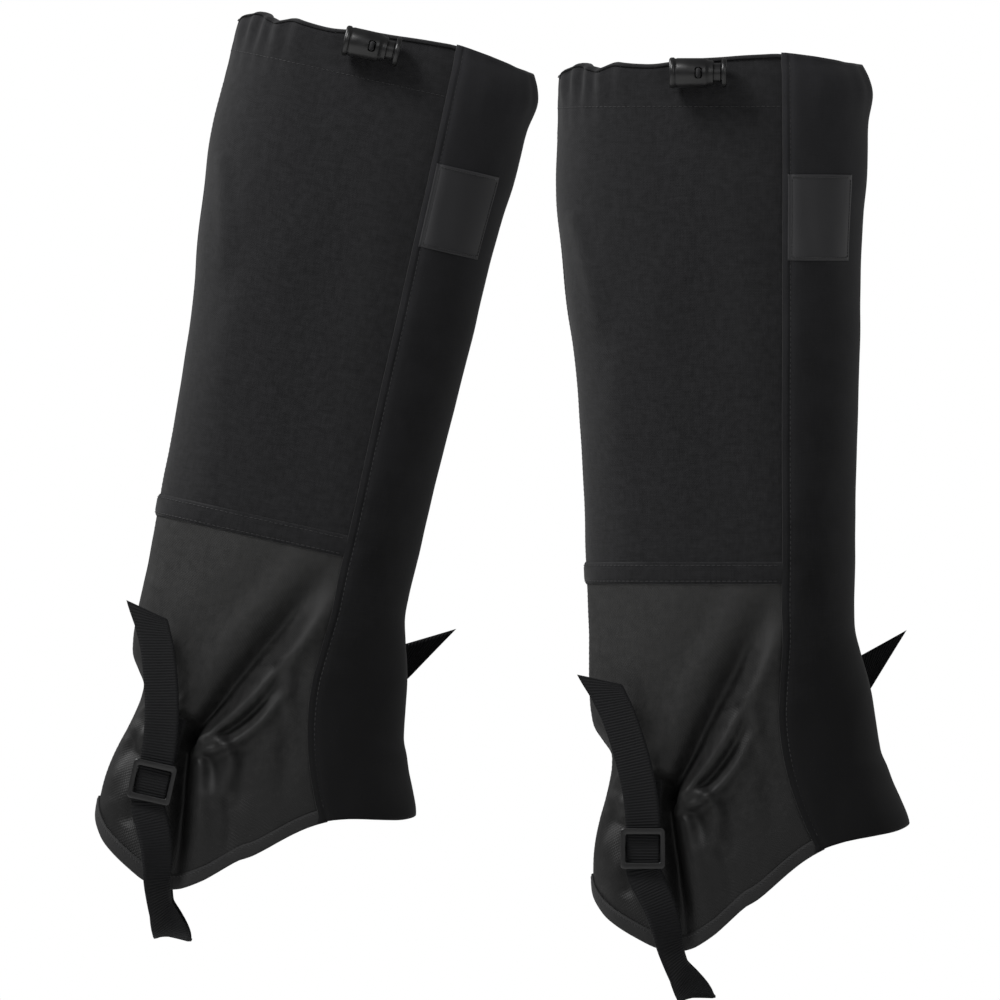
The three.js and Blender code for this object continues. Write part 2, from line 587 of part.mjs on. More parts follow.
  const barDepth = WEB_THICK / 2 + LAYER_GAP + TAB_THICK + SLIDE_FIT + BUCKLE_BAR_R;
  const buckle = (centre, y, outward) => {
    const gapWidth = WEB_WIDTH + 2 * WEB_FIT;
    const wide = gapWidth + 2 * BUCKLE_SIDE;
    const r = 2;
    const shape = new THREE.Shape();
    shape.moveTo(-wide / 2 + r, -BUCKLE_HEIGHT / 2);
    shape.absarc(wide / 2 - r, -BUCKLE_HEIGHT / 2 + r, r, -Math.PI / 2, 0, false);
    shape.absarc(wide / 2 - r, BUCKLE_HEIGHT / 2 - r, r, 0, Math.PI / 2, false);
    shape.absarc(-wide / 2 + r, BUCKLE_HEIGHT / 2 - r, r, Math.PI / 2, Math.PI, false);
    shape.absarc(-wide / 2 + r, -BUCKLE_HEIGHT / 2 + r, r, Math.PI, 1.5 * Math.PI, false);
    const hole = new THREE.Path();
    const windowHigh = BUCKLE_HEIGHT / 2 - BUCKLE_BAR;
    hole.moveTo(-gapWidth / 2, -windowHigh);
    hole.lineTo(-gapWidth / 2, windowHigh);
    hole.lineTo(gapWidth / 2, windowHigh);
    hole.lineTo(gapWidth / 2, -windowHigh);
    hole.closePath();
    shape.holes.push(hole);
    const front = WEB_THICK / 2 + WEB_FIT;
    const barBack = barDepth + BUCKLE_BAR_R;
    const plate = { depth: BUCKLE_THICK, bevelEnabled: false, curveSegments: 3 };
    const frame = new THREE.ExtrudeGeometry(shape, plate);
    let body = solid(frame.translate(0, 0, front));
    const cheekDeep = front + barBack + 0.2;
    [-1, 1].forEach((s) => {
      const x = s * (gapWidth / 2 + BUCKLE_SIDE / 2);
      const cheek = new THREE.BoxGeometry(BUCKLE_SIDE, 6, cheekDeep);
      body = body.add(solid(cheek.translate(x, 0, front + 0.2 - cheekDeep / 2)));
    });
    const bar = new THREE.CylinderGeometry(BUCKLE_BAR_R, BUCKLE_BAR_R, gapWidth + 0.4, 10);
    body = body.add(solid(bar.rotateZ(Math.PI / 2).translate(0, 0, -barDepth)));
    const geometry = fromSolid(body);
    geometry.rotateX(outward < 0 ? Math.PI / 2 : -Math.PI / 2);
    return geometry.translate(centre.x, y, centre.z);
  };
  add('outer_buckle', buckle(OUTER_BUCKLE, -webY, -1), 'plastic');
  add('inner_buckle', buckle(INNER_BUCKLE, webY, 1), 'plastic');

  // a tab: sewn at its top, down to the buckle's rear bar, round it and back up
  const tab = (centre, sign) => {
    const barY = webY - barDepth;
    const wrapR = BUCKLE_BAR_R + SLIDE_FIT + TAB_THICK / 2;
    const wide = WEB_WIDTH - 2;
    const sewnT = angleOfX(TAB_X + wide / 2, TAB_Z);
    const sewnY = -surfacePoint(sewnT, TAB_Z, PANEL + 2 * LAYER_GAP + TAB_THICK / 2).y;
    const layerStep = TAB_THICK + LAYER_GAP;
    const at = (x, y, z) => [x, sign * y, z];
    const back = [0, sign, 0];
    const front = [0, -sign, 0];
    const points = [
      { at: at(TAB_X, sewnY, TAB_Z + 6), out: back },
      { at: at(TAB_X - 1, sewnY + 0.3, TAB_Z - 5), out: back },
      { at: at(centre.x + 1, barY - wrapR, centre.z + 10), out: back },
    ];
    for (let a = 0; a <= 180; a += 45) {
      const turn = THREE.MathUtils.degToRad(a);
      const y = barY - wrapR * Math.cos(turn);
      const z = centre.z - wrapR * Math.sin(turn);
      points.push({ at: at(centre.x, y, z), out: [0, sign * Math.cos(turn), Math.sin(turn)] });
    }
    points.push(
      { at: at(centre.x + 0.6, barY + wrapR * 0.4, centre.z + 6), out: front },
      { at: at(centre.x + 1, barY - wrapR + layerStep, centre.z + 12), out: front },
      { at: at(TAB_X - 1, sewnY + 0.3 + layerStep, TAB_Z - 5), out: front },
      { at: at(TAB_X, sewnY + layerStep, TAB_Z + 6), out: front },
    );
    const edge = new THREE.Vector3(sign, 0, 0);
    return ribbon(points, wide, TAB_THICK, 2 * (points.length - 1), edge);
  };
  add('outer_strap_tab', tab(OUTER_BUCKLE, -1), 'webbing');
  add('inner_strap_tab', tab(INNER_BUCKLE, 1), 'webbing');
  return group;
}

const pair = new THREE.Group();
const right = gaiter('right');
const left = gaiter('left');
left.rotation.y = THREE.MathUtils.degToRad(LEAN_DEG);
left.position.set(REAR_OFFSET.x, REAR_OFFSET.y, REAR_OFFSET.z);
pair.add(right, left);

export default pair;
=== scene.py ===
# %% [markdown]
# # A pair of hiking gaiters
# A gaiter is a sewn sleeve of cloth that closes the gap between a boot and a trouser leg. The packed
# model gives the bodies, joints and sizes. This lesson dresses it in cloth, webbing, thread and
# moulded plastic. Everything is in metres, with +X towards the toe and +Z up the leg.

# %% Load the frame
import math

import bmesh
import bpy
import numpy as np
from mathutils import Matrix, Vector


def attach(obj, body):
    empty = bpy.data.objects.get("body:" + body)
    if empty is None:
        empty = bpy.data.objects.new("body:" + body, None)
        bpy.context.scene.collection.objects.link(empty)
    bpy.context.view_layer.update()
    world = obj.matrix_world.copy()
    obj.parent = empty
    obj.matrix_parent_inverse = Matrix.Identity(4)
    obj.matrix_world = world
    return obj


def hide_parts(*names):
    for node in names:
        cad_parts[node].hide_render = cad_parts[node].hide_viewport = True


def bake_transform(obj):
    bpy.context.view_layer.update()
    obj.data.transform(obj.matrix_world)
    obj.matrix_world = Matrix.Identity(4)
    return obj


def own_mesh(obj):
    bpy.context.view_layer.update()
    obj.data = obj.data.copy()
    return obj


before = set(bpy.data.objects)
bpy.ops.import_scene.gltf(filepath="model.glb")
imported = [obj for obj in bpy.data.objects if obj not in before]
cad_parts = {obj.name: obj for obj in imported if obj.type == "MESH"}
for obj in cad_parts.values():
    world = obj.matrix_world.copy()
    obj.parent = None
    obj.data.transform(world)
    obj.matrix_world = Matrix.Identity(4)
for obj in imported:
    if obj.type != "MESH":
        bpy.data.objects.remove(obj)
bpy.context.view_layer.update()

# %% [markdown]
# ## Camera
# A long lens far away keeps the near and the far gaiter at one scale, as in a catalogue picture.
# An orthographic camera would do the same, but a lens leaves a trace of depth.

# %% Camera
PICTURE_WIDTH = 0.52
PICTURE_CENTRE = Vector((-0.1155, 0.0, 0.2585))
LENS = 1000.0
SENSOR = 36.0

scene = bpy.context.scene
camera_data = bpy.data.cameras.new("camera")
camera_data.lens = LENS
camera_data.sensor_width = SENSOR
camera_data.clip_end = 60.0
camera = bpy.data.objects.new("camera", camera_data)
scene.collection.objects.link(camera)
camera.location = PICTURE_CENTRE - Vector((0.0, PICTURE_WIDTH * LENS / SENSOR, 0.0))
camera.rotation_euler = (math.radians(90), 0, 0)
bpy.context.scene.camera = camera
print("camera", tuple(camera.location))

# %% [markdown]
# ## World
# The world is plain white to the camera and gives a weaker, even fill to the cloth. The Light Path
# node tells the two apart. A lit backdrop would also be white, but it would brighten the edges.

# %% World
FILL_LIGHT = 0.15

world = bpy.data.worlds.new("studio")
scene.world = world
world.use_nodes = True
world_tree = world.node_tree
world_tree.nodes.clear()
two_worlds = world_tree.nodes.new("ShaderNodeMixShader")
for socket_number, strength in ((1, FILL_LIGHT), (2, 1.0)):
    background = world_tree.nodes.new("ShaderNodeBackground")
    background.inputs["Color"].default_value = (1, 1, 1, 1)
    background.inputs["Strength"].default_value = strength
    world_tree.links.new(background.outputs[0], two_worlds.inputs[socket_number])
light_path = world_tree.nodes.new("ShaderNodeLightPath")
world_tree.links.new(light_path.outputs["Is Camera Ray"], two_worlds.inputs[0])
world_out = world_tree.nodes.new("ShaderNodeOutputWorld")
world_tree.links.new(two_worlds.outputs[0], world_out.inputs["Surface"])
scene.view_settings.view_transform = "Standard"
print("world fill", FILL_LIGHT)

# %% [markdown]
# ## Lights
# Black cloth shows its shape only where a light rakes across it. The key light stands high on the
# heel's side, so that each fold has a lit lip and a dark valley. A broad soft light opens the
# front, and two edge lights draw the outline from behind.

# %% Lights
MIDDLE = (-0.1, 0.08, 0.25)
# name, place, aim, width and height, power in watts
LIGHTS = [
    ("key", (-1.0, -0.9, 1.75), (-0.1, 0.08, 0.3), (0.5, 0.7), 26.0),
    ("soft", (0.7, -2.2, 1.5), MIDDLE, (1.2, 1.2), 8.0),
    ("edge", (-1.15, 0.6, 1.2), (-0.15, 0.1, 0.42), (0.3, 0.6), 10.0),
    ("edge_far", (1.6, 1.0, 0.7), MIDDLE, (0.5, 1.4), 6.0),
]
for light_name, stand, aim, panel, power in LIGHTS:
    lamp_data = bpy.data.lights.new(light_name, "AREA")
    lamp_data.shape = "RECTANGLE"
    lamp_data.size, lamp_data.size_y = panel
    lamp_data.energy = power
    lamp = bpy.data.objects.new(light_name, lamp_data)
    scene.collection.objects.link(lamp)
    lamp.location = stand
    lamp.rotation_euler = (Vector(aim) - Vector(stand)).to_track_quat("-Z", "Y").to_euler()
print(len(LIGHTS), "lights")

# %% [markdown]
# ## Floor
# The floor is a pale sheet below the straps, and it catches their shadow from above. It is a stage
# piece, so it isn't part of the object.

# %% Floor
FLOOR_Z = -0.009
FLOOR_CORNERS = [(-1.6, -2.0), (1.4, -2.0), (1.4, 0.37), (-1.6, 0.37)]

floor_mesh = bpy.data.meshes.new("floor")
floor_mesh.from_pydata([(x, y, FLOOR_Z) for x, y in FLOOR_CORNERS], [], [(0, 1, 2, 3)])
floor = bpy.data.objects.new("floor", floor_mesh)
scene.collection.objects.link(floor)
floor_paint = bpy.data.materials.new("floor_paint")
floor_paint.use_nodes = True
floor_shader = floor_paint.node_tree.nodes["Principled BSDF"]
floor_shader.inputs["Base Color"].default_value = (0.85, 0.85, 0.84, 1)
floor_shader.inputs["Roughness"].default_value = 0.9
floor_mesh.materials.append(floor_paint)
print("floor at", FLOOR_Z)

# %% [markdown]
# ## The shape of the leg
# All the cloth lies on one smooth surface: a row of rounded sections up the leg, wide at the calf,
# pinched above the heel and swept forward over the instep. Points are asked for by the angle round
# the leg, the height, and how far they lie outside the cloth. One function for every layer keeps
# panels, tapes and bindings nested. A loft or a skinned curve would also work, but it has no easy
# way to place a stitch or a label later.

# %% Sections of the leg
MM = 0.001
ROUNDNESS = 2.5
# height, calf side, shin side and half width of each section, in millimetres
SECTIONS = np.array([
    (10, -65.5, 98, 45.5), (40, -65.8, 96.5, 45.2), (56, -66, 95.5, 44.8), (76, -65.7, 94, 44.3),
    (93, -62.6, 93, 44), (103, -59.6, 89, 44), (112, -57.4, 85, 44), (121, -56.2, 81.8, 44.3),
    (127, -56.6, 79.2, 44.6), (133, -60.5, 78, 45), (140, -65.4, 76.8, 45.4), (148, -67.4, 75.4, 46),
    (157, -68.1, 73.8, 46.6), (168, -68.2, 71, 47.2), (179, -68, 68, 47.9), (189, -67.7, 65.6, 48.5),
    (202, -68.2, 64.9, 49.3), (217, -68.9, 64.9, 50.2), (235, -69.6, 65.1, 51.2), (284, -71.8, 66, 53.3),
    (320, -74.6, 66.7, 55), (342, -76.7, 67.2, 56.2), (356, -78.9, 67.5, 56.9), (390, -82.7, 68.5, 58.1),
    (408, -84.6, 69.3, 58.7), (424, -85.2, 71, 59.2), (440, -84.6, 71.6, 59.5), (455, -84.3, 72, 59.8),
    (470, -84.3, 73.8, 60), (484, -83.2, 69.8, 60), (500, -81, 68, 59.4),
])


def along(heights, column):
    """One column of the sections at any height, as a smooth curve through them."""
    z, v = SECTIONS[:, 0], SECTIONS[:, column]
    slope = np.gradient(v, z)
    i = np.clip(np.searchsorted(z, heights) - 1, 0, len(z) - 2)
    h = z[i + 1] - z[i]
    f = np.clip((heights - z[i]) / h, 0, 1)
    a = (1 + 2 * f) * (1 - f) ** 2 * v[i] + f * (1 - f) ** 2 * h * slope[i]
    return a + f * f * (3 - 2 * f) * v[i + 1] + f * f * (f - 1) * h * slope[i + 1]


def signed_power(v, p):
    """A power that keeps the sign, for rounded-square sections."""
    return np.sign(v) * np.abs(v) ** p


def leg(t, z, out=0.0):
    """Points on the leg: t in degrees from the shin (90 is the -Y side), z and out in mm."""
    t, z, out = np.broadcast_arrays(np.asarray(t, float), np.asarray(z, float), np.asarray(out, float))
    back, front, half = along(z, 1), along(z, 2), along(z, 3)
    mid, deep = (back + front) / 2, (front - back) / 2
    c, s = np.cos(np.radians(t)), np.sin(np.radians(t))
    nx = signed_power(c, 2 - 2 / ROUNDNESS) / deep
    ny = signed_power(s, 2 - 2 / ROUNDNESS) / half
    length = np.hypot(nx, ny)
    x = mid + deep * signed_power(c, 2 / ROUNDNESS) + out * nx / length
    y = -(half * signed_power(s, 2 / ROUNDNESS) + out * ny / length)
    return np.stack([x, y, z], -1)


def angle_of_x(x, z):
    """The angle on the -Y side at which the leg reaches x."""
    back, front = along(z, 1), along(z, 2)
    c = np.clip((x - (back + front) / 2) / ((front - back) / 2), -1, 1)
    return np.degrees(np.arccos(signed_power(c, ROUNDNESS / 2)))


def angle_of_y(y, z):
    """The angle near the shin at which the leg reaches y."""
    return np.degrees(np.arcsin(signed_power(y / along(z, 3), ROUNDNESS / 2)))


girth_ring = leg(np.arange(361), 484)[:, :2]
print("calf girth", round(float(np.sum(np.hypot(*np.diff(girth_ring, axis=0).T)))), "mm")

# %% [markdown]
# ## Edges and seams
# The hem dips under the instep and rises over the toe and the heel. The top edge waves a little,
# because the drawcord has gathered it. The flap's free edge runs straight down the leg and then
# sweeps forward with the foot. Each edge is a list of its turning points, softened a little.

# %% Edges and seams
# angle in degrees from the shin, height in mm
HEM = np.array([
    (0, 93), (12, 90.5), (28, 87), (42, 85), (54, 83), (62, 80.8), (69, 77.5), (78.5, 69), (88, 55),
    (95.5, 40), (103, 30.3), (111, 25.2), (122, 26.8), (132, 32), (143, 37.5), (153, 42.5), (163, 48.5),
    (172, 53.5), (180, 58),
])
TOP_EDGE = np.array([
    (0, 484), (30, 485.5), (66, 490.5), (81, 489.5), (95, 487.5), (108, 484.8), (118, 485.3),
    (127, 486.6), (133, 482.6), (141, 484), (150, 486.4), (158, 484.6), (169, 480), (180, 481.5),
])
FLAP_EDGE = 28.7
FLAP_WIDER = 1.6
FLAP_SWEEP = 18.8
JOIN = 220.5
SEAM_Y = 20.0


def turn_from_shin(t):
    """The angle from the shin, 0 to 180 degrees, whichever side it is on."""
    return np.abs((np.asarray(t, float) + 180) % 360 - 180)


def rounded(profile, t, spread):
    """An edge's height, averaged over a few degrees so that its corners are round."""
    turn = turn_from_shin(t)
    steps = np.linspace(-spread, spread, 5)
    return sum(np.interp(np.abs(turn + d), profile[:, 0], profile[:, 1]) for d in steps) / len(steps)


def hem(t):
    return rounded(HEM, t, 4)


def top_edge(t):
    return rounded(TOP_EDGE, t, 3)


def flap_edge_x(z):
    z = np.asarray(z, float)
    straight = FLAP_EDGE + FLAP_WIDER * np.clip((z - 150) / 35, 0, 1)
    return straight + FLAP_SWEEP * np.clip((150 - z) / 71, 0, 1) ** 1.9


def flap_free(z):
    return angle_of_x(flap_edge_x(z), z)


def flap_sewn(z):
    return -angle_of_y(SEAM_Y, z)


print("hem from", HEM[:, 1].min(), "to", HEM[:, 1].max(), "mm; top edge up to", TOP_EDGE[:, 1].max(), "mm")

# %% [markdown]
# ## Folds in the cloth
# The ankle panel is pinched where the strap's tab is sewn, so folds fan out from that point. The
# heel notch crumples, and the drawcord gathers the top edge. A cloth simulation gives folds, but
# not these folds. So each one is a curve on the side of the leg with a profile across it: a soft
# valley, a ridge or a sharp crease. All the layers ask the same function, so they fold together.

# %% Folds of the two panels
# start, control and end of each fold as (x, z) in mm; height; width at both ends; hardness
FOLDS = [
    ((-29, 103), (0, 156), (27, 210), -9.5, 3.5, 8.5, 0.0),
    ((-34, 122), (-16, 165), (6, 212), 3.4, 5, 11, 0.0),
    ((-20, 104), (12, 140), (30, 195), 4.8, 3.5, 6.5, 0.0),
    ((-28, 101), (4, 113), (15, 158), -6.0, 1.6, 2.2, 1.0),
    ((-24, 97), (10, 107), (19, 152), 4.4, 2.5, 4.0, 0.0),
    ((-26, 101), (-6, 117), (-3, 92), 3.6, 2.2, 3.6, 0.0),
    ((-3, 98), (-2, 86), (-8, 72), 2.2, 4, 6, 0.0),
    ((-23, 97), (-12, 101), (-13, 78), -3.4, 2.5, 4.5, 0.0),
    ((4, 104), (8, 90), (2, 70), -1.8, 4, 6, 0.0),
    ((-31, 110), (-27, 80), (-17, 28), -10.0, 4.5, 5.0, 0.0),
    ((-17, 92), (-14, 66), (-6, 38), 2.6, 4, 7, 0.0),
    ((-52, 90), (-49, 72), (-48, 52), -4.0, 4, 5, 0.0),
    ((8, 150), (22, 120), (30, 74), -1.6, 4, 5, 0.0),
    ((-2, 78), (6, 66), (4, 48), -1.5, 3, 4, 0.0),
    ((18, 132), (16, 106), (6, 84), 1.3, 6, 8, 0.0),
    ((-42, 120), (-50, 122), (-62, 133), -2.6, 3, 4, 0.4),
    ((-40, 104), (-52, 100), (-64, 104), 2.2, 5, 6, 0.0),
    ((-46, 128), (-54, 130), (-63, 139), 2.2, 4, 5, 0.0),
    ((-48, 112), (-57, 96), (-63, 76), -2.4, 2, 4, 0.5),
    ((-52, 116), (-60, 104), (-62, 88), 1.4, 1.5, 3, 0.2),
    ((-60, 96), (-62, 84), (-60, 66), 1.8, 3, 5, 0.0),
    ((-50, 72), (-57, 62), (-62, 54), 1.6, 5, 6, 0.0),
    ((-48, 56), (-40, 48), (-34, 40), -1.2, 4, 6, 0.0),
    ((-40, 150), (-30, 185), (-34, 214), 1.5, 9, 14, 0.0),
    ((-58, 150), (-52, 180), (-58, 212), -1.3, 6, 10, 0.0),
    ((0, 214), (-6, 196), (-22, 160), -1.6, 7, 9, 0.0),
    ((22, 150), (26, 120), (34, 100), -1.4, 5, 7, 0.0),
    ((-46, 300), (-30, 360), (-38, 440), 1.7, 18, 24, 0.0),
    ((-6, 250), (4, 330), (-4, 420), -1.4, 16, 22, 0.0),
    ((-62, 232), (-66, 290), (-70, 350), -1.0, 8, 12, 0.0),
    ((-76, 404), (-66, 372), (-62, 340), 1.6, 4, 6, 0.0),
    ((12, 330), (18, 380), (10, 440), 1.0, 10, 12, 0.0),
]


print(len(FOLDS), "folds, the deepest", min(fold[3] for fold in FOLDS), "mm")

# %% [markdown]
# A fold's height at a point comes from the distance to its curve, taken as a chain of short
# segments. A soft fold has a bell-shaped profile and a hard one comes to an edge. Every fold fades
# out towards its end, as a crease does when it reaches flat cloth.

# %% Height of the folds
FOLD_SEGMENTS = 12


def fold_height(x, z):
    """Height of the folds in mm at side-view points."""
    total = np.zeros(np.broadcast(x, z).shape)
    for start, control, end, height, width_start, width_end, hard in FOLDS:
        u = np.linspace(0, 1, FOLD_SEGMENTS + 1)
        px = (1 - u) ** 2 * start[0] + 2 * u * (1 - u) * control[0] + u * u * end[0]
        pz = (1 - u) ** 2 * start[1] + 2 * u * (1 - u) * control[1] + u * u * end[1]
        best = np.full(total.shape, 1e9)
        place = np.zeros(total.shape)
        for k in range(FOLD_SEGMENTS):
            dx, dz = px[k + 1] - px[k], pz[k + 1] - pz[k]
            f = np.clip(((x - px[k]) * dx + (z - pz[k]) * dz) / (dx * dx + dz * dz), 0, 1)
            d = np.hypot(x - px[k] - f * dx, z - pz[k] - f * dz)
            closer = d < best
            best = np.where(closer, d, best)
            place = np.where(closer, (k + f) / FOLD_SEGMENTS, place)
        width = width_start + (width_end - width_start) * place
        soft = np.exp(-((best / width) ** 2))
        sharp = np.exp(-np.hypot(best, 0.4) / width)
        fade = np.clip(1.2 - 1.1 * place**3, 0, 1)
        total += height * fade * ((1 - hard) * soft + hard * sharp)
    return total


print("main valley at the pinch", round(float(fold_height(-29, 103)), 2), "mm")

# %% [markdown]
# Two finer effects lie over the folds. The drawcord puckers the casing, most of all behind the
# calf, and the row of stitches below it holds the puckers down. All the cloth also hangs in slow,
# shallow waves, because no sewn cloth is perfectly even.

# %% Gathers and waves
GATHER_FROM, GATHER_RANGE = 450, 24
STITCH_LINE = 463
LEAN_FROM, LEAN_RANGE, LEAN_IN = 477, 8, 1.7


def gathers(t, z):
    """Small upright puckers where the drawcord draws the casing in, in mm."""
    near_top = np.clip((np.asarray(z, float) - GATHER_FROM) / GATHER_RANGE, 0, 1)
    near_top = near_top * (0.35 + 0.65 * np.clip((turn_from_shin(t) - 70) / 45, 0, 1))
    line = np.exp(-(((np.asarray(z, float) - STITCH_LINE) / 6) ** 2))
    a = np.radians(t)
    wave = np.sin(a * 31 + 1.3 * np.sin(a * 5)) * (0.6 + 0.4 * np.sin(a * 3.1))
    slow = np.sin(a * 9 + 0.7)
    return near_top * (0.8 * wave + 1.2 * slow) * (1 - 0.45 * line)


def waviness(x, z):
    """The slow, shallow unevenness of cloth that hangs, in mm."""
    wide = np.sin(x / 9.1 + 1.7 * np.sin(z / 37.0)) * np.sin(z / 23.0 + 1.3 * np.sin(x / 17.0))
    fine = np.sin(x / 3.3 + 2.1 * np.sin(z / 19.0) + z / 41.0)
    fine = fine * np.sin(z / 7.7 + 1.9 * np.sin(x / 7.0))
    streak = np.sin(x / 5.2 + 1.1 * np.sin(z / 61.0)) * np.sin(z / 55.0 + x / 13.0)
    return 0.42 * wide + 0.11 * fine + 0.22 * streak


def cloth(t, z, out=0.0):
    """The leg's surface with the folds in it. The inner side has them weaker and out of step."""
    t = np.asarray(t, float)
    base = leg(t, z, 0.0)
    turn = turn_from_shin(t)
    inner = np.mod(t, 360) > 180
    side = np.clip(np.minimum(turn - 24, 176 - turn) / 22, 0, 1)
    side = side * side * (3 - 2 * side)
    rise = fold_height(base[..., 0] + 6 * inner, base[..., 2] - 5 * inner) * side * (1 - 0.2 * inner)
    rise = rise + waviness(base[..., 0] + 40 * inner, base[..., 2]) + gathers(t, z)
    rise = rise - LEAN_IN * np.clip((base[..., 2] - LEAN_FROM) / LEAN_RANGE, 0, 1) ** 2
    return leg(t, z, out + rise)


print("cloth above the heel at", np.round(cloth(110.0, 100.0), 2), "mm")

# %% [markdown]
# ## Building cloth as a mesh
# A panel is a grid of points between two edges. Each grid is given a real thickness by a second,
# offset grid and a rim, so the mesh is closed. It also gets a map in metres along the weave, so
# the weave keeps its scale on every piece and on both legs.

# %% One closed sheet
def make_object(name, verts, faces, uvs=None, smooth=True):
    """An object from points in metres, with its faces turned outwards."""
    mesh = bpy.data.meshes.new(name)
    mesh.from_pydata([tuple(v) for v in verts], [], [tuple(f) for f in faces])
    if uvs is not None:
        layer = mesh.uv_layers.new(name="cloth")
        loops = np.zeros(len(mesh.loops), np.int64)
        mesh.loops.foreach_get("vertex_index", loops)
        layer.data.foreach_set("uv", np.asarray(uvs, float)[loops].ravel())
    tidy = bmesh.new()
    tidy.from_mesh(mesh)
    bmesh.ops.recalc_face_normals(tidy, faces=tidy.faces)
    tidy.to_mesh(mesh)
    tidy.free()
    mesh.polygons.foreach_set("use_smooth", [smooth] * len(mesh.polygons))
    mesh.update()
    obj = bpy.data.objects.new(name, mesh)
    scene.collection.objects.link(obj)
    return obj


def closed_sheet(name, near, far, uv=None):
    """A closed sheet from two grids of points, (rows, columns, 3) in mm, near the leg and far."""
    rows, cols = near.shape[:2]
    count = rows * cols
    verts = np.concatenate([near.reshape(-1, 3), far.reshape(-1, 3)]) * MM
    j, i = np.meshgrid(np.arange(rows - 1), np.arange(cols - 1), indexing="ij")
    a = (j * cols + i).ravel()
    b, c, d = a + 1, a + cols + 1, a + cols
    faces = [np.stack([a, b, c, d], 1), np.stack([a, d, c, b], 1) + count]
    edge = np.concatenate([
        np.arange(cols), np.arange(1, rows) * cols + cols - 1,
        (rows - 1) * cols + np.arange(cols - 2, -1, -1), np.arange(rows - 2, 0, -1) * cols,
    ])
    nxt = np.roll(edge, -1)
    faces.append(np.stack([nxt, edge, edge + count, nxt + count], 1))
    if uv is None:
        step_u = np.linalg.norm(np.diff(far, axis=1), axis=2)
        step_v = np.linalg.norm(np.diff(far, axis=0), axis=2)
        even_u = np.broadcast_to(step_u.mean(0), step_u.shape)
        even_v = np.broadcast_to(step_v.mean(1)[:, None], step_v.shape)
        u = np.concatenate([np.zeros((rows, 1)), np.cumsum(even_u, 1)], 1)
        v = np.concatenate([np.zeros((1, cols)), np.cumsum(even_v, 0)], 0)
        uv = np.stack([u, v], -1) * MM
    return make_object(name, verts, np.concatenate(faces), np.concatenate([uv.reshape(-1, 2)] * 2))


print("a sheet has two faces and a rim, and its map is in metres")

# %% [markdown]
# A panel's edges aren't straight lines on the leg: an upright edge changes its angle with height,
# and the hem changes its height with the angle. So the grid is found in a few rounds, each one
# placing the columns for the heights of the round before.

# %% Grids between two edges
GRID_ROUNDS = 8


def grid(left, right, low, high, cols, rows):
    """Angles and heights between two edges (functions of z) and two ends (functions of t)."""
    u = np.linspace(0, 1, cols)[None, :]
    v = np.linspace(0, 1, rows)[:, None]
    z = np.full((rows, cols), JOIN)
    for _ in range(GRID_ROUNDS):
        t = left(z) + (right(z) - left(z)) * u
        z = low(t) + (high(t) - low(t)) * v
    return t, z


def constant(value):
    """An edge that stays at one angle or one height."""
    return lambda other: np.full(np.shape(other), float(value))


def layer(name, t, z, near, far):
    """A sheet of the folded cloth between two distances from the leg."""
    return closed_sheet(name, cloth(t, z, near), cloth(t, z, far))


test_heights = grid(constant(0), constant(90), hem, constant(JOIN), 4, 4)[1]
print("a test grid is", round(float(np.ptp(test_heights)), 1), "mm high")

# %% [markdown]
# ## Finishes
# Every finish is made from nodes. Three effects are shared by many of them, so each is a node
# group: the weave of the threads, the uneven dyed colour with its dust and a painted shade that
# darkens each piece towards its foot end, and the fine ribs of webbing and tapes. A picture of real
# cloth would be quicker, but it repeats, and it can't be scaled.

# %% Helpers for node groups
def node(tree, kind, **values):
    """Add a node and set its properties."""
    made = tree.nodes.new(kind)
    for key, value in values.items():
        setattr(made, key, value)
    return made


def math_node(tree, operation, a, b=None):
    """A Math node whose two values are numbers or sockets; gives back its result."""
    made = node(tree, "ShaderNodeMath", operation=operation)
    for socket, value in zip(made.inputs, (a, b)):
        if isinstance(value, (int, float)):
            socket.default_value = value
        elif value is not None:
            tree.links.new(value, socket)
    return made.outputs[0]


def new_group(name, inputs, outputs):
    """A shader node group with named sockets, and its two end nodes."""
    tree = bpy.data.node_groups.new(name, "ShaderNodeTree")
    for label, kind, value in inputs:
        socket = tree.interface.new_socket(label, in_out="INPUT", socket_type=kind)
        if value is not None:
            socket.default_value = value
    for label, kind in outputs:
        tree.interface.new_socket(label, in_out="OUTPUT", socket_type=kind)
    return tree, tree.nodes.new("NodeGroupInput"), tree.nodes.new("NodeGroupOutput")


FLOAT, COLOUR, VECTOR = "NodeSocketFloat", "NodeSocketColor", "NodeSocketVector"
print("node helpers for", FLOAT, COLOUR, VECTOR)

# %% [markdown]
# The weave raises each thread where it crosses over the next. Slubs are thick places in the yarn,
# and they run along the threads, both up and across.

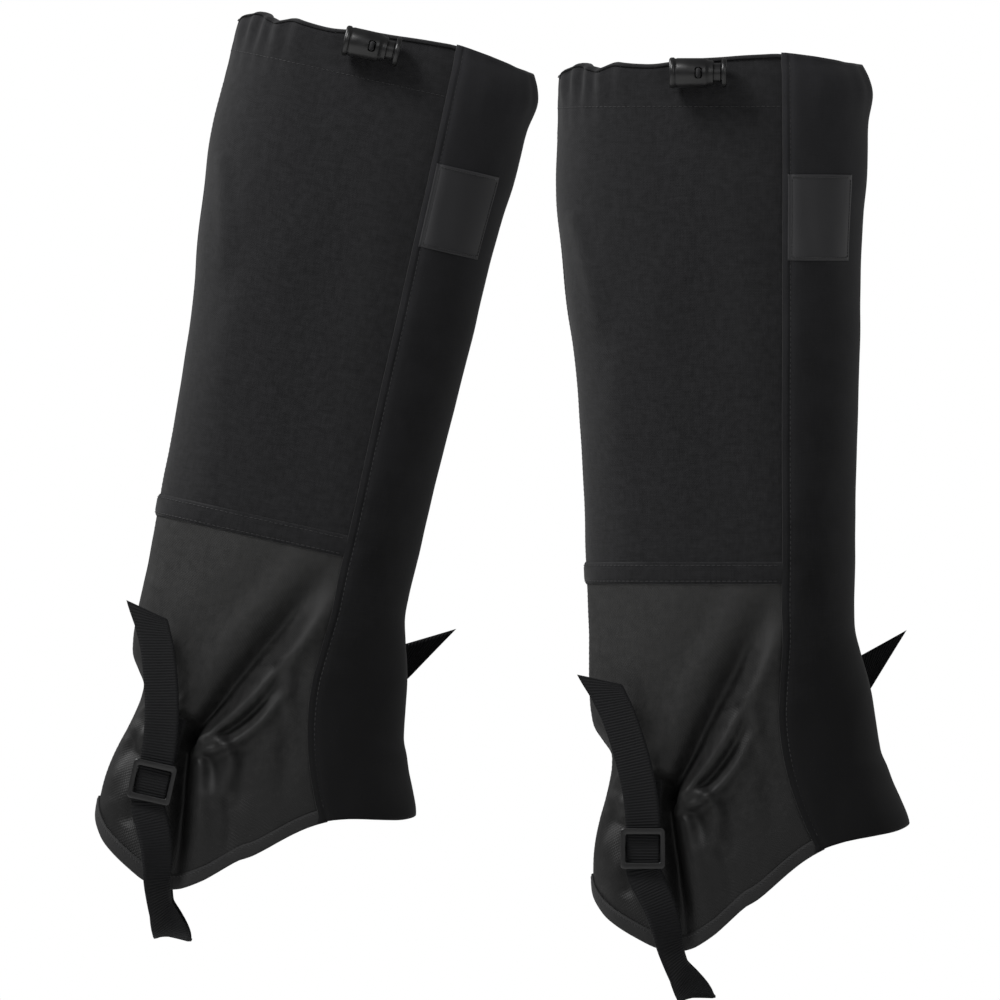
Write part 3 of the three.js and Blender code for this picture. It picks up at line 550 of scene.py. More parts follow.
# %% Weave group
ALONG_YARN, ACROSS_YARN = 90.0, 1500.0
weave, w_in, w_out = new_group(
    "thread_weave",
    [("Vector", VECTOR, None), ("Threads", FLOAT, 1800.0), ("Slub", FLOAT, 0.5)],
    [("Height", FLOAT), ("Slubs", FLOAT)],
)
weave_axes = node(weave, "ShaderNodeSeparateXYZ")
weave.links.new(w_in.outputs["Vector"], weave_axes.inputs[0])
turns = math_node(weave, "MULTIPLY", w_in.outputs["Threads"], math.pi)
warp = math_node(weave, "SINE", math_node(weave, "MULTIPLY", weave_axes.outputs[0], turns))
weft = math_node(weave, "SINE", math_node(weave, "MULTIPLY", weave_axes.outputs[1], turns))
crossing = math_node(weave, "MULTIPLY", warp, weft)
streaks = []
for scale in ((ALONG_YARN, ACROSS_YARN, 1.0), (ACROSS_YARN, ALONG_YARN, 1.0)):
    stretch = node(weave, "ShaderNodeMapping")
    stretch.inputs["Scale"].default_value = scale
    weave.links.new(w_in.outputs["Vector"], stretch.inputs["Vector"])
    yarn_noise = node(weave, "ShaderNodeTexNoise")
    yarn_noise.inputs["Scale"].default_value = 1.0
    yarn_noise.inputs["Detail"].default_value = 2.0
    weave.links.new(stretch.outputs[0], yarn_noise.inputs["Vector"])
    streaks.append(yarn_noise.outputs[0])
slubs = math_node(weave, "MULTIPLY", math_node(weave, "ADD", *streaks), w_in.outputs["Slub"])
lifted = math_node(weave, "ADD", math_node(weave, "MULTIPLY", crossing, 0.5), slubs)
weave.links.new(lifted, w_out.inputs["Height"])
weave.links.new(slubs, w_out.inputs["Slubs"])
print("weave group", len(weave.nodes), "nodes")

# %% [markdown]
# Black cloth is never evenly dyed. It fades in small clouds, and dust and lint settle in small pale
# specks. Painted shade is mixed in as well: each piece is darker at its foot end and paler up the
# leg, as the light from above falls off. One input sets how fast, and "Level" sets at what height.
# All are one mix between the dyed and the faded colour.

# %% Dye, dust and painted shade group
dye_and_shade, d_in, d_out = new_group(
    "dye_dust_and_painted_shade",
    [("Vector", VECTOR, None), ("Dyed", COLOUR, (0.02, 0.02, 0.021, 1)),
     ("Faded", COLOUR, (0.04, 0.04, 0.041, 1)),
     ("Clouds", FLOAT, 28.0), ("Fade", FLOAT, 0.5), ("Lint", FLOAT, 0.3), ("Slubs", FLOAT, 0.5),
     ("Climb", FLOAT, 0.0), ("Level", FLOAT, 0.13)],
    [("Color", COLOUR), ("Fade_And_Shade_Mask", FLOAT)],
)
clouds = node(dye_and_shade, "ShaderNodeTexNoise")
clouds.inputs["Detail"].default_value = 5.0
clouds.inputs["Roughness"].default_value = 0.6
dye_and_shade.links.new(d_in.outputs["Vector"], clouds.inputs["Vector"])
dye_and_shade.links.new(d_in.outputs["Clouds"], clouds.inputs["Scale"])
specks = node(dye_and_shade, "ShaderNodeTexNoise")
specks.inputs["Scale"].default_value = 900.0
specks.inputs["Detail"].default_value = 1.0
dye_and_shade.links.new(d_in.outputs["Vector"], specks.inputs["Vector"])
lint = node(dye_and_shade, "ShaderNodeMapRange")
lint.inputs["From Min"].default_value = 0.70
lint.inputs["From Max"].default_value = 0.78
dye_and_shade.links.new(specks.outputs[0], lint.inputs["Value"])
cloudy = math_node(dye_and_shade, "MULTIPLY", clouds.outputs[0], d_in.outputs["Fade"])
speckled = math_node(dye_and_shade, "MULTIPLY", lint.outputs[0], d_in.outputs["Lint"])
yarn = math_node(dye_and_shade, "MULTIPLY", d_in.outputs["Slubs"], 0.5)
place_on = node(dye_and_shade, "ShaderNodeSeparateXYZ")
dye_and_shade.links.new(d_in.outputs["Vector"], place_on.inputs[0])
# painted shade: the colour pales with height up each piece and is darkest at its foot end
above = math_node(dye_and_shade, "SUBTRACT", place_on.outputs["Y"], d_in.outputs["Level"])
shade_climbing = math_node(dye_and_shade, "MULTIPLY", above, d_in.outputs["Climb"])
fade_and_shade_mask = math_node(dye_and_shade, "ADD", math_node(dye_and_shade, "ADD", cloudy, speckled), yarn)
fade_and_shade_mask = math_node(dye_and_shade, "ADD", fade_and_shade_mask, shade_climbing)
blend = node(dye_and_shade, "ShaderNodeMix", data_type="RGBA")
dye_and_shade.links.new(fade_and_shade_mask, blend.inputs[0])
dye_and_shade.links.new(d_in.outputs["Dyed"], blend.inputs[6])
dye_and_shade.links.new(d_in.outputs["Faded"], blend.inputs[7])
dye_and_shade.links.new(blend.outputs[2], d_out.inputs["Color"])
dye_and_shade.links.new(fade_and_shade_mask, d_out.inputs["Fade_And_Shade_Mask"])
print("dye group", len(dye_and_shade.nodes), "nodes")

# %% [markdown]
# Webbing, tape and elastic are woven with a heavy cross thread, so they show fine ribs across the
# width. The rib group is a wave along one direction of the map, broken up by a little noise.

# %% Rib group
ribs, r_in, r_out = new_group(
    "cross_ribs",
    [("Vector", VECTOR, None), ("Ribs", FLOAT, 900.0), ("Broken", FLOAT, 0.4)],
    [("Height", FLOAT), ("Slubs", FLOAT)],
)
rib_axes = node(ribs, "ShaderNodeSeparateXYZ")
ribs.links.new(r_in.outputs["Vector"], rib_axes.inputs[0])
rib_turns = math_node(ribs, "MULTIPLY", r_in.outputs["Ribs"], math.tau)
phase = math_node(ribs, "MULTIPLY", rib_axes.outputs[1], rib_turns)
rib_noise = node(ribs, "ShaderNodeTexNoise")
rib_noise.inputs["Scale"].default_value = 1400.0
rib_noise.inputs["Detail"].default_value = 2.0
ribs.links.new(r_in.outputs["Vector"], rib_noise.inputs["Vector"])
broken = math_node(ribs, "MULTIPLY", rib_noise.outputs[0], r_in.outputs["Broken"])
wave = math_node(ribs, "MULTIPLY", math_node(ribs, "SINE", phase), 0.5)
ribs.links.new(math_node(ribs, "ADD", wave, broken), r_out.inputs["Height"])
ribs.links.new(broken, r_out.inputs["Slubs"])
print("rib group", len(ribs.nodes), "nodes")

# %% [markdown]
# A cloth finish puts one surface group and the group of dyed colour, dust and painted shade in a
# material of its own. The colour, the roughness and the relief change over the cloth. The sheen and
# the gloss are even, so they are set on the shader itself.

# %% A cloth finish
def new_paint(name):
    """A new material, its node tree and its shader."""
    paint = bpy.data.materials.new(name)
    paint.use_nodes = True
    return paint, paint.node_tree, paint.node_tree.nodes["Principled BSDF"]


def add_gloss_and_relief(tree, shader, wear, rough, height, strength, depth):
    """Roughness between two values by the wear, and a bump from the height."""
    gloss = node(tree, "ShaderNodeMapRange")
    gloss.inputs["To Min"].default_value, gloss.inputs["To Max"].default_value = rough
    tree.links.new(wear, gloss.inputs["Value"])
    tree.links.new(gloss.outputs[0], shader.inputs["Roughness"])
    relief = node(tree, "ShaderNodeBump")
    relief.inputs["Strength"].default_value = strength
    relief.inputs["Distance"].default_value = depth
    tree.links.new(height, relief.inputs["Height"])
    tree.links.new(relief.outputs[0], shader.inputs["Normal"])


def cloth_finish(name, dyed, faded, rough, surface, surface_values, bump,
                 sheen=0.0, specular=0.3, **dye_values):
    """A finish from the weave or rib group, the group of dyed colour, dust and painted shade, and one
    Principled shader.
    """
    paint, tree, shader = new_paint(name)
    uv = node(tree, "ShaderNodeUVMap", uv_map="cloth")
    woven = node(tree, "ShaderNodeGroup", node_tree=surface)
    dye_shade_node = node(tree, "ShaderNodeGroup", node_tree=dye_and_shade)
    tree.links.new(uv.outputs[0], woven.inputs["Vector"])
    tree.links.new(uv.outputs[0], dye_shade_node.inputs["Vector"])
    for key, value in surface_values.items():
        woven.inputs[key].default_value = value
    for key, value in dye_values.items():
        dye_shade_node.inputs[key].default_value = value
    dye_shade_node.inputs["Dyed"].default_value = (*dyed, 1)
    dye_shade_node.inputs["Faded"].default_value = (*faded, 1)
    tree.links.new(woven.outputs["Slubs"], dye_shade_node.inputs["Slubs"])
    tree.links.new(dye_shade_node.outputs["Color"], shader.inputs["Base Color"])
    add_gloss_and_relief(tree, shader, dye_shade_node.outputs["Fade_And_Shade_Mask"], rough, woven.outputs["Height"], *bump)
    shader.inputs["Sheen Weight"].default_value = sheen
    shader.inputs["Sheen Roughness"].default_value = 0.4
    shader.inputs["Specular IOR Level"].default_value = specular
    return paint


print("cloth finishes use", weave.name, "or", ribs.name, "and", dye_and_shade.name)

# %% [markdown]
# Moulded plastic and metal have no weave. They have a fine grain, rubbed patches with a paler tone,
# and an uneven gloss. Both come from noise in the piece's own space.

# %% A solid finish
GRAIN_DEPTH = 0.00005
PATCH_TO_GRAIN = 12


def solid_finish(name, colour, worn, rough, metal, scale, bump):
    """Moulded plastic or metal: fine grain, rubbed patches and uneven gloss."""
    paint, tree, shader = new_paint(name)
    place = node(tree, "ShaderNodeTexCoord")
    grain = node(tree, "ShaderNodeTexNoise")
    grain.inputs["Scale"].default_value = scale
    grain.inputs["Detail"].default_value = 4.0
    tree.links.new(place.outputs["Object"], grain.inputs["Vector"])
    patch = node(tree, "ShaderNodeTexNoise")
    patch.inputs["Scale"].default_value = scale / PATCH_TO_GRAIN
    patch.inputs["Detail"].default_value = 3.0
    tree.links.new(place.outputs["Object"], patch.inputs["Vector"])
    tone = node(tree, "ShaderNodeMix", data_type="RGBA")
    tone.inputs[6].default_value = (*colour, 1)
    tone.inputs[7].default_value = (*worn, 1)
    tree.links.new(patch.outputs[0], tone.inputs[0])
    tree.links.new(tone.outputs[2], shader.inputs["Base Color"])
    add_gloss_and_relief(tree, shader, patch.outputs[0], rough, grain.outputs[0], bump, GRAIN_DEPTH)
    shader.inputs["Metallic"].default_value = metal
    return paint


print("solid finishes have a grain", GRAIN_DEPTH, "m deep")

# %% [markdown]
# The upper cloth is matt with pale slubs. The ankle cloth is denser and has a satin gloss, the flap
# is smooth and dark, and the tapes and webbing are ribbed. Colours are dyed and faded, and the two
# roughness values belong to them. Threads and ribs are counted per metre.

# %% Finishes of the gaiter
# The upper cloth, the ankle cloth and the flap carry painted shade: darker towards each piece's foot end,
# strongest on the ankle cloth, then the flap, then the upper cloth.
UPPER = cloth_finish("upper_fabric", (0.0025, 0.0025, 0.0029), (0.0225, 0.0225, 0.024), (0.86, 0.98), weave,
                     {"Threads": 1500.0, "Slub": 1.2}, (0.5, 0.00018), sheen=0.09, specular=0.22,
                     Clouds=260.0, Fade=1.1, Lint=1.0, Slubs=1.2, Climb=0.7, Level=0.75)
LOWER = cloth_finish("lower_fabric", (0.0045, 0.0045, 0.0046), (0.028, 0.0278, 0.0275), (0.50, 0.68), weave,
                     {"Threads": 1250.0, "Slub": 0.8}, (0.5, 0.0002), sheen=0.02, specular=0.34,
                     Clouds=220.0, Fade=1.1, Lint=0.8, Slubs=1.0, Climb=5.5, Level=0.210)
FLAP = cloth_finish("flap_fabric", (0.0042, 0.0042, 0.0047), (0.027, 0.027, 0.0295), (0.85, 0.97), weave,
                    {"Threads": 2100.0, "Slub": 0.5}, (0.25, 0.0001), sheen=0.07, specular=0.2,
                    Clouds=40.0, Fade=0.6, Lint=0.5, Climb=2.6, Level=0.30)
LABEL = cloth_finish("label_satin", (0.027, 0.027, 0.029), (0.035, 0.035, 0.0374), (0.55, 0.7), weave,
                     {"Threads": 2600.0, "Slub": 0.2}, (0.2, 0.00008), specular=0.35,
                     Clouds=40.0, Fade=0.5, Lint=0.1)
TRIM = cloth_finish("trim_tape", (0.0085, 0.0085, 0.0088), (0.026, 0.026, 0.0264), (0.65, 0.8), ribs,
                    {"Ribs": 1100.0, "Broken": 0.4}, (0.4, 0.00015), sheen=0.06,
                    Clouds=60.0, Fade=0.6, Lint=0.3)
WEBBING = cloth_finish("webbing", (0.0028, 0.0029, 0.0034), (0.009, 0.0092, 0.0102), (0.6, 0.8), ribs,
                       {"Ribs": 666.7, "Broken": 0.5}, (0.5, 0.0003), sheen=0.02, specular=0.18,
                       Clouds=90.0, Fade=0.8, Lint=0.3)
ELASTIC = cloth_finish("elastic", (0.010, 0.010, 0.011), (0.022, 0.022, 0.023), (0.75, 0.9), ribs,
                       {"Ribs": 1500.0, "Broken": 0.3}, (0.5, 0.0002), sheen=0.05,
                       Clouds=80.0, Fade=0.6, Lint=0.2)
HOOKS = cloth_finish("hook_and_loop", (0.010, 0.010, 0.011), (0.030, 0.030, 0.031), (0.8, 0.95), weave,
                     {"Threads": 900.0, "Slub": 1.6}, (0.9, 0.0004), sheen=0.2,
                     Clouds=300.0, Fade=0.8, Lint=0.6)
THREAD = cloth_finish("sewing_thread", (0.012, 0.012, 0.013), (0.046, 0.046, 0.048), (0.5, 0.7), ribs,
                      {"Ribs": 3000.0, "Broken": 0.5}, (0.4, 0.0001), sheen=0.1,
                      Clouds=50.0, Fade=0.8, Lint=0.3)
PLASTIC = solid_finish("moulded_plastic", (0.005, 0.005, 0.0054), (0.011, 0.011, 0.0115), (0.26, 0.42),
                       0.0, 2200.0, 0.25)
EYELET = solid_finish("eyelet_metal", (0.10, 0.10, 0.105), (0.18, 0.18, 0.185), (0.25, 0.45),
                      1.0, 1500.0, 0.15)
SPRING = solid_finish("spring_steel", (0.45, 0.45, 0.46), (0.6, 0.6, 0.6), (0.18, 0.3), 1.0, 2500.0, 0.1)
HOOK_STEEL = solid_finish("hook_steel", (0.38, 0.385, 0.39), (0.52, 0.52, 0.52), (0.22, 0.4),
                          1.0, 1800.0, 0.15)
print(len(bpy.data.materials), "materials")

# %% [markdown]
# ## The four panels
# The sleeve is two upper panels of matt cloth and two lower panels of a stiffer, slightly shiny
# one. They meet in a seam up the heel and end at the shin, where one runs under the flap. On the
# real thing the pieces are cut flat and sewn. Here each is a closed sheet one millimetre thick.

# %% Panels
TUCK = 33
THICK = 1.0
MADE = []


def keep(obj, body, node_names, slot, material, flat=None, rests_on=()):
    """Paint a piece and note its body, the nodes it replaces, its slot and its flat size."""
    obj.data.materials.append(material)
    MADE.append((obj, body, node_names, slot, flat, rests_on))
    return obj


def tuck(z):
    """The outer panels' front edge, well under the flap."""
    return flap_free(z) - TUCK


def inner_front(z):
    """The line on the inner side where the flap is sewn."""
    return 360 - angle_of_y(SEAM_Y + 0.8, z)


def inner_edge(z):
    """The inner panels' front edge, just under the flap's seam."""
    return 360 - angle_of_y(SEAM_Y - 4, z)


def panel_top(t):
    return top_edge(t) - 1.6


PANEL_SIDES = {"outer": (tuck, constant(179.7)), "inner": (constant(180.3), inner_edge)}
FLAT_WIDTH = {"outer": 0.190, "inner": 0.205}
# level, lower and upper end, columns, flat height in metres, finish
PANEL_LEVELS = [
    ("upper", constant(JOIN + 0.2), panel_top, 120, 0.268, UPPER),
    ("lower", hem, constant(JOIN - 0.2), 150, 0.185, LOWER),
]
for level_name, low_end, high_end, columns, flat_height, finish in PANEL_LEVELS:
    for side_name, (left, right) in PANEL_SIDES.items():
        t, z = grid(left, right, low_end, high_end, columns, 135)
        panel = layer(f"{level_name}_{side_name}_cloth", t, z, 0.0, THICK)
        keep(panel, "gaiter", [f"{level_name}_{side_name}_panel"], f"{level_name}_fabric", finish,
             (FLAT_WIDTH[side_name], flat_height), ["join_band"])
print("panels", [len(item[0].data.polygons) for item in MADE])

# %% [markdown]
# ## Band, casing, tapes and hem
# A folded band covers the join of upper and lower cloth. The top edge is turned in to make the
# casing, the channel for the cord. Each is swept round the leg from a small profile of heights and
# distances, so it follows the folds. A bevelled curve would be shorter, but it would cut the cloth.

# %% Band and casing
def swept(name, profile_near, profile_far, base, left, right, cols):
    """Sweep two profiles, lists of (height above base, out), round the leg."""
    rows = len(profile_near)
    t, _ = grid(left, right, base, base, cols, rows)
    level = base(t)
    grids = []
    for profile in (profile_near, profile_far):
        rise = np.array([p[0] for p in profile])[:, None]
        out = np.array([p[1] for p in profile])[:, None]
        grids.append(cloth(t, level + rise, out + 0 * t))
    return closed_sheet(name, *grids)


def under_flap(z):
    return flap_free(z) - 4


BAND = 5.7
across = np.linspace(-1, 1, 13)


def band_out(a):
    """The band's outer face: flat, with rounded edges and a groove along each row of stitches."""
    groove = 0.25 * math.exp(-(((abs(a) - 0.72) / 0.12) ** 2))
    return 1.2 + 1.15 * (1 - abs(a) ** 6) - groove


band_near = [(BAND * a, 1.12) for a in across]
band_far = [(BAND * 1.04 * a, band_out(a)) for a in across]
join_band = swept("join_band", band_near, band_far, constant(JOIN), under_flap, inner_front, 260)
keep(join_band, "gaiter", ["joining_band"], "upper_fabric", UPPER)

CASING_DROP, CASING_IN = 2.6, 1.6
half_turn = [math.radians(a) for a in np.linspace(0, 180, 9)]


def casing_turn(rise, radius):
    """The rounded top of the casing, from inside to outside."""
    return [(rise * math.sin(a), -CASING_IN - radius * math.cos(a)) for a in half_turn]


casing_near = [(-21, -0.5), (-18, -3.4), (-3, -4.1)] + casing_turn(1.2, 2.5)
casing_far = [(-21, -1.3), (-18, -4.2), (-3, -4.9)] + casing_turn(2.0, 3.3)


def casing_base(t):
    return top_edge(t) - CASING_DROP


casing = swept("turned_casing", casing_near, casing_far, casing_base, tuck, inner_front, 260)
keep(casing, "gaiter", ["top_casing"], "upper_fabric", UPPER)
print("band and casing", len(join_band.data.polygons), len(casing.data.polygons), "faces")

# %% [markdown]
# A tape covers the heel seam inside, an elastic pulls the cloth in above the heel, and a folded
# tape binds the hem. The elastic is sewn on stretched, so it ruffles when the leg is out. The hem
# tape goes round the cloth's edge in one piece.

# %% Heel tapes and hem
RUFFLE = 0.35
HEEL_SEAM = (173, 187)
HEEL_ELASTIC = (126, 234)

t, z = grid(constant(HEEL_SEAM[0]), constant(HEEL_SEAM[1]), lambda a: hem(a) + 9, constant(459), 9, 180)
keep(layer("heel_seam_tape", t, z, -1.3, -0.5), "gaiter", ["back_seam_tape"], "trim_tape", TRIM)
t, z = grid(constant(HEEL_ELASTIC[0]), constant(HEEL_ELASTIC[1]), constant(121), constant(139), 150, 9)
ruffle = RUFFLE * np.sin(np.radians(t) * 60)
heel_elastic = layer("heel_elastic", t, z, -2.9 + ruffle, -1.9 + ruffle)
keep(heel_elastic, "gaiter", ["ankle_elastic"], "elastic", ELASTIC)

HEM_HIGH = 7.0
HEM_MID = 0.5
down_hem = np.linspace(HEM_HIGH, 0, 6)


def hem_profile(r, lift):
    """From inside, round the edge and up again: (height, out)."""
    inside = [(h, HEM_MID - r) for h in down_hem]
    turns = [math.radians(a) for a in range(22, 180, 22)]
    bottom = [(-r * math.sin(a), HEM_MID - r * math.cos(a)) for a in turns]
    outside = [(h, HEM_MID + r + lift * math.sin(math.pi * h / HEM_HIGH)) for h in down_hem[::-1]]
    return inside + bottom + outside


hem_tape = swept("hem_tape", hem_profile(0.62, 0), hem_profile(1.45, 0.25), hem, under_flap, inner_front, 300)
keep(hem_tape, "gaiter", ["hem_binding"], "trim_tape", TRIM)
print("bands", [item[0].name for item in MADE[4:]])

# %% [markdown]
# ## The flap
# The front flap is one long strip of darker cloth. It is sewn down the far side of the shin, laps
# over the front opening and closes with hook-and-loop. Its free edge is folded under and sewn, so
# it stands up in a small roll with a sewn groove beside it. The strips lie between the layers, and
# the blank label is sewn on top.

# %% Flap
FLAP_LOW, FLAP_HIGH = 1.15, 4.1


def flap_lift(t, z):
    """How far the flap lies off the leg, and the distance from its free edge."""
    x = leg(t, z)[..., 0]
    edge = np.where(t > 20, x - flap_edge_x(z), 99.0)
    f = np.clip((t + 14) / 30, 0, 1)
    rise = FLAP_LOW + (FLAP_HIGH - FLAP_LOW) * f * f * (3 - 2 * f)
    return rise - 2.5 * np.exp(-((edge / 4.2) ** 2)), edge


def flap_out(t, z):
    """The flap's outer face, with the roll at its free edge and the sewn groove beside it."""
    rise, edge = flap_lift(t, z)
    roll = 0.95 * np.exp(-(((edge - 1.5) / 1.25) ** 2))
    groove = 0.5 * np.exp(-(((edge - 3.6) / 0.6) ** 2))
    return rise + THICK + (roll - groove)


def flap_bottom(t):
    return hem(t) - 0.6


t, z = grid(flap_sewn, flap_free, flap_bottom, top_edge, 130, 230)
flap_cloth = layer("front_flap_cloth", t, z, flap_lift(t, z)[0], flap_out(t, z))
keep(flap_cloth, "flap", ["front_flap"], "flap_fabric", FLAP, (0.100, 0.425), ["upper_inner_cloth"])
print("flap", len(flap_cloth.data.polygons), "faces")

# %% [markdown]
# The loop strip is sewn on the panel and the hook strip on the back of the flap. They lie face to
# face, so both are the same band of the leg at two distances.

# %% Hook-and-loop strips
STRIP_NEAR, STRIP_FAR = 6.5, 23
# piece, node, body, distance from the leg
STRIPS = [("loop_strip", "panel_loop_strip", "gaiter", 1.5), ("hook_strip", "flap_hook_strip", "flap", 2.65)]
for strip_name, node_name, body, lie_low in STRIPS:
    t, z = grid(lambda h: flap_free(h) - STRIP_FAR, lambda h: flap_free(h) - STRIP_NEAR,
                constant(112), constant(463), 16, 190)
    keep(layer(strip_name, t, z, lie_low, lie_low + 0.8), body, [node_name], "hook_and_loop", HOOKS)
print("strips", [name for name, *_ in STRIPS])

# %% [markdown]
# The label is a blank patch of satin, sewn on near the flap's free edge. Its edges turn under, so
# it is a little higher in the middle than at the rim.

# %% Label
LABEL_X, LABEL_Z = 32.3, (382.5, 427.2)
LABEL_TURN = 34.5


def label_turn(share, h):
    """The angle across the label: 0 is the edge near the flap's free edge."""
    return angle_of_x(LABEL_X, h) - LABEL_TURN * share


t, z = grid(lambda h: label_turn(1, h), lambda h: label_turn(0, h),
            constant(LABEL_Z[0]), constant(LABEL_Z[1]), 48, 60)
lie = flap_out(t, z)
from_sides = 1 - np.abs(np.linspace(-1, 1, t.shape[1])[None, :]) ** 14
from_ends = 1 - np.abs(np.linspace(-1, 1, t.shape[0])[:, None]) ** 18
label = layer("label_patch_satin", t, z, lie + 0.12, lie + 0.35 + 0.65 * from_sides * from_ends)
keep(label, "flap", ["label_patch"], "label", LABEL)
print("label", [round(side / MM, 1) for side in label.dimensions], "mm")

# %% [markdown]
# ## Ribbons
# Webbing, tabs and the lace hook are all flat bars that follow a path. The path's points and the
# way the face looks at each one are listed. The ribbon is cut into short steps, so the
# webbing's ribs and its thicker edges are real shape.

# %% Ribbon maker
def path_run(points):
    """The distance along a path at each of its points."""
    return np.concatenate([[0], np.cumsum(np.linalg.norm(np.diff(points, axis=0), axis=1))])


def at_place(place, places, vectors):
    """Vectors given at some places, read at others."""
    return np.stack([np.interp(place, places, vectors[:, k]) for k in range(3)], -1)


def spline(points, count):
    """A smooth curve through the points in even steps, each step's place in the list, the length."""
    p = np.asarray(points, float)
    ends = np.concatenate([[2 * p[0] - p[1]], p, [2 * p[-1] - p[-2]]])
    fine = np.linspace(0, len(p) - 1, 60 * (len(p) - 1) + 1)
    i = np.minimum(fine.astype(int), len(p) - 2)
    f = (fine - i)[:, None]
    a, b, c, d = ends[i], ends[i + 1], ends[i + 2], ends[i + 3]
    curve = 0.5 * (2 * b + (c - a) * f + (2 * a - 5 * b + 4 * c - d) * f**2 + (3 * b - a - 3 * c + d) * f**3)
    run = path_run(curve)
    even = np.linspace(0, run[-1], count)
    return at_place(even, run, curve), np.interp(even, run, fine), run[-1]


def unit(v):
    return v / np.linalg.norm(v, axis=-1, keepdims=True)


def ribbon(name, route, width, thick, step, rib=0.0, pitch=1.3, cuts=(0, 0), curl=0.0):
    """A flat bar along a route of (point, way it faces). Cuts slant its two ends."""
    points, outs = zip(*route)
    length = spline(points, 3)[2]
    count = int(length / step) + 1
    centre, place, _ = spline(points, count)
    outs = np.asarray(outs, float)
    out = unit(at_place(place, np.arange(len(outs)), outs))
    along_path = unit(np.gradient(centre, axis=0))
    across_path = unit(np.cross(along_path, out))
    face = np.cross(across_path, along_path)
    s = np.linspace(-1, 1, 13)
    run = np.linspace(0, length, count)
    slant = np.exp(-run / 14)[:, None] * cuts[0] + np.exp(-(length - run) / 26)[:, None] * cuts[1]
    middle = centre[:, None, :] + across_path[:, None, :] * (s * width / 2)[None, :, None]
    middle = middle + along_path[:, None, :] * (slant * s[None, :])[:, :, None]
    ripple = rib * np.sin(math.tau * run / pitch)[:, None] * (1 - np.abs(s) ** 4)[None, :]
    edge_cord = 0.10 * thick * np.exp(-(((np.abs(s) - 0.88) / 0.07) ** 2))
    shell = thick / 2 * (1 - 0.55 * np.abs(s) ** 10)[None, :] + edge_cord
    cup = (curl * (s**2 - 0.4))[None, :]
    near = middle - face[:, None, :] * (shell + ripple - cup)[:, :, None]
    far = middle + face[:, None, :] * (shell + ripple + cup)[:, :, None]
    uv = np.stack(np.broadcast_arrays((s * width / 2)[None, :], run[:, None]), -1) * MM
    return closed_sheet(name, near, far, uv)


print("a straight ribbon's length", spline([(0, 0, 0), (10, 0, 0), (20, 0, 0)], 3)[2], "mm")

# %% [markdown]
# ## The strap under the boot
# One length of webbing runs under the instep and up both sides to a buckle. The spare ends stick
# out: the near one lies back over the heel, and the far one crosses behind the shin and points
# forward. The ends are cut at a slant, as scissors leave them. Its route is a list of points, and
# the stretch below the buckles is the same on both sides.

# %% Webbing strap
WEB_WIDTH, WEB_THICK, WEB_Y = 18.0, 1.6, 54.5
OUTER_BUCKLE, INNER_BUCKLE = (-41.5, 78.0), (-37.0, 80.0)
# point in mm, and the way the webbing faces there
NEAR_TAIL = [
    ((-64, -44.5, 165.5), (-0.35, -0.95, 0.05)), ((-58.5, -46.5, 156), (-0.3, -1, 0)),
    ((-53, -49, 144), (-0.2, -1, 0)), ((-47, -52, 125), (-0.1, -1, 0)), ((-43.2, -54, 108), (0, -1, 0)),
    ((-41.5, -54.5, 92), (0, -1, 0)), ((-41.5, -54.5, 78), (0, -1, 0)), ((-41, -54.5, 66), (0, -1, 0)),
    ((-37, -55, 57), (0.2, -0.98, 0)),
]
TO_THE_SOLE = [
    ((-32.6, -56, 47), (0.35, -0.93, 0)), ((-29.6, -56.3, 37), (0.5, -0.86, 0)),
    ((-27.2, -55.5, 26), (0.68, -0.72, 0)), ((-22.6, -51.5, 13.5), (0.85, -0.45, -0.25)),
    ((-17.5, -46, 5.5), (0.72, -0.38, -0.58)), ((-14.2, -38.5, 2.0), (0.3, -0.3, -0.9)),
    ((-13, -30.5, 0.8), (0, 0, -1)), ((-12.5, -22.5, 0.8), (0, 0, -1)),
]
FAR_TAIL = [
    ((-36, 55, 62), (0, 1, 0)), ((-37, 54.5, 80), (0, 1, 0)), ((-37, 54.5, 92), (0, 1, 0)),
    ((-33, 54.5, 103), (0, 1, 0)), ((-20, 54.5, 116), (0, 1, 0)), ((6, 54.5, 129), (0, 1, 0)),
    ((36, 54.5, 146), (0, 1, 0)), ((62, 53, 161), (0.1, 1, 0)), ((87, 48.5, 175), (0.3, 0.95, 0.05)),
]
from_the_sole = [((x, -y, z), (ox, -oy, oz)) for (x, y, z), (ox, oy, oz) in reversed(TO_THE_SOLE)]
strap_route = NEAR_TAIL + TO_THE_SOLE + from_the_sole + FAR_TAIL
strap = ribbon("webbing_strap", strap_route, WEB_WIDTH, WEB_THICK - 0.3, 0.42,
               rib=0.15, pitch=1.5, cuts=(-8.5, 16), curl=0.35)
keep(strap, "strap", ["instep_strap"], "webbing", WEBBING)
print("strap", round(spline([point for point, _ in strap_route], 3)[2], 1), "mm long")

# %% [markdown]
# Each buckle hangs on a tab: a short ribbon sewn to the ankle panel, looped round the buckle's
# rear bar and brought back up. The two layers are sewn together at the top.

# %% Buckle tabs
BAR_DEPTH = 3.8
TAB = (-38.5, 106.0)
TAB_OUT = 4.0
LOOP_R = 2.0


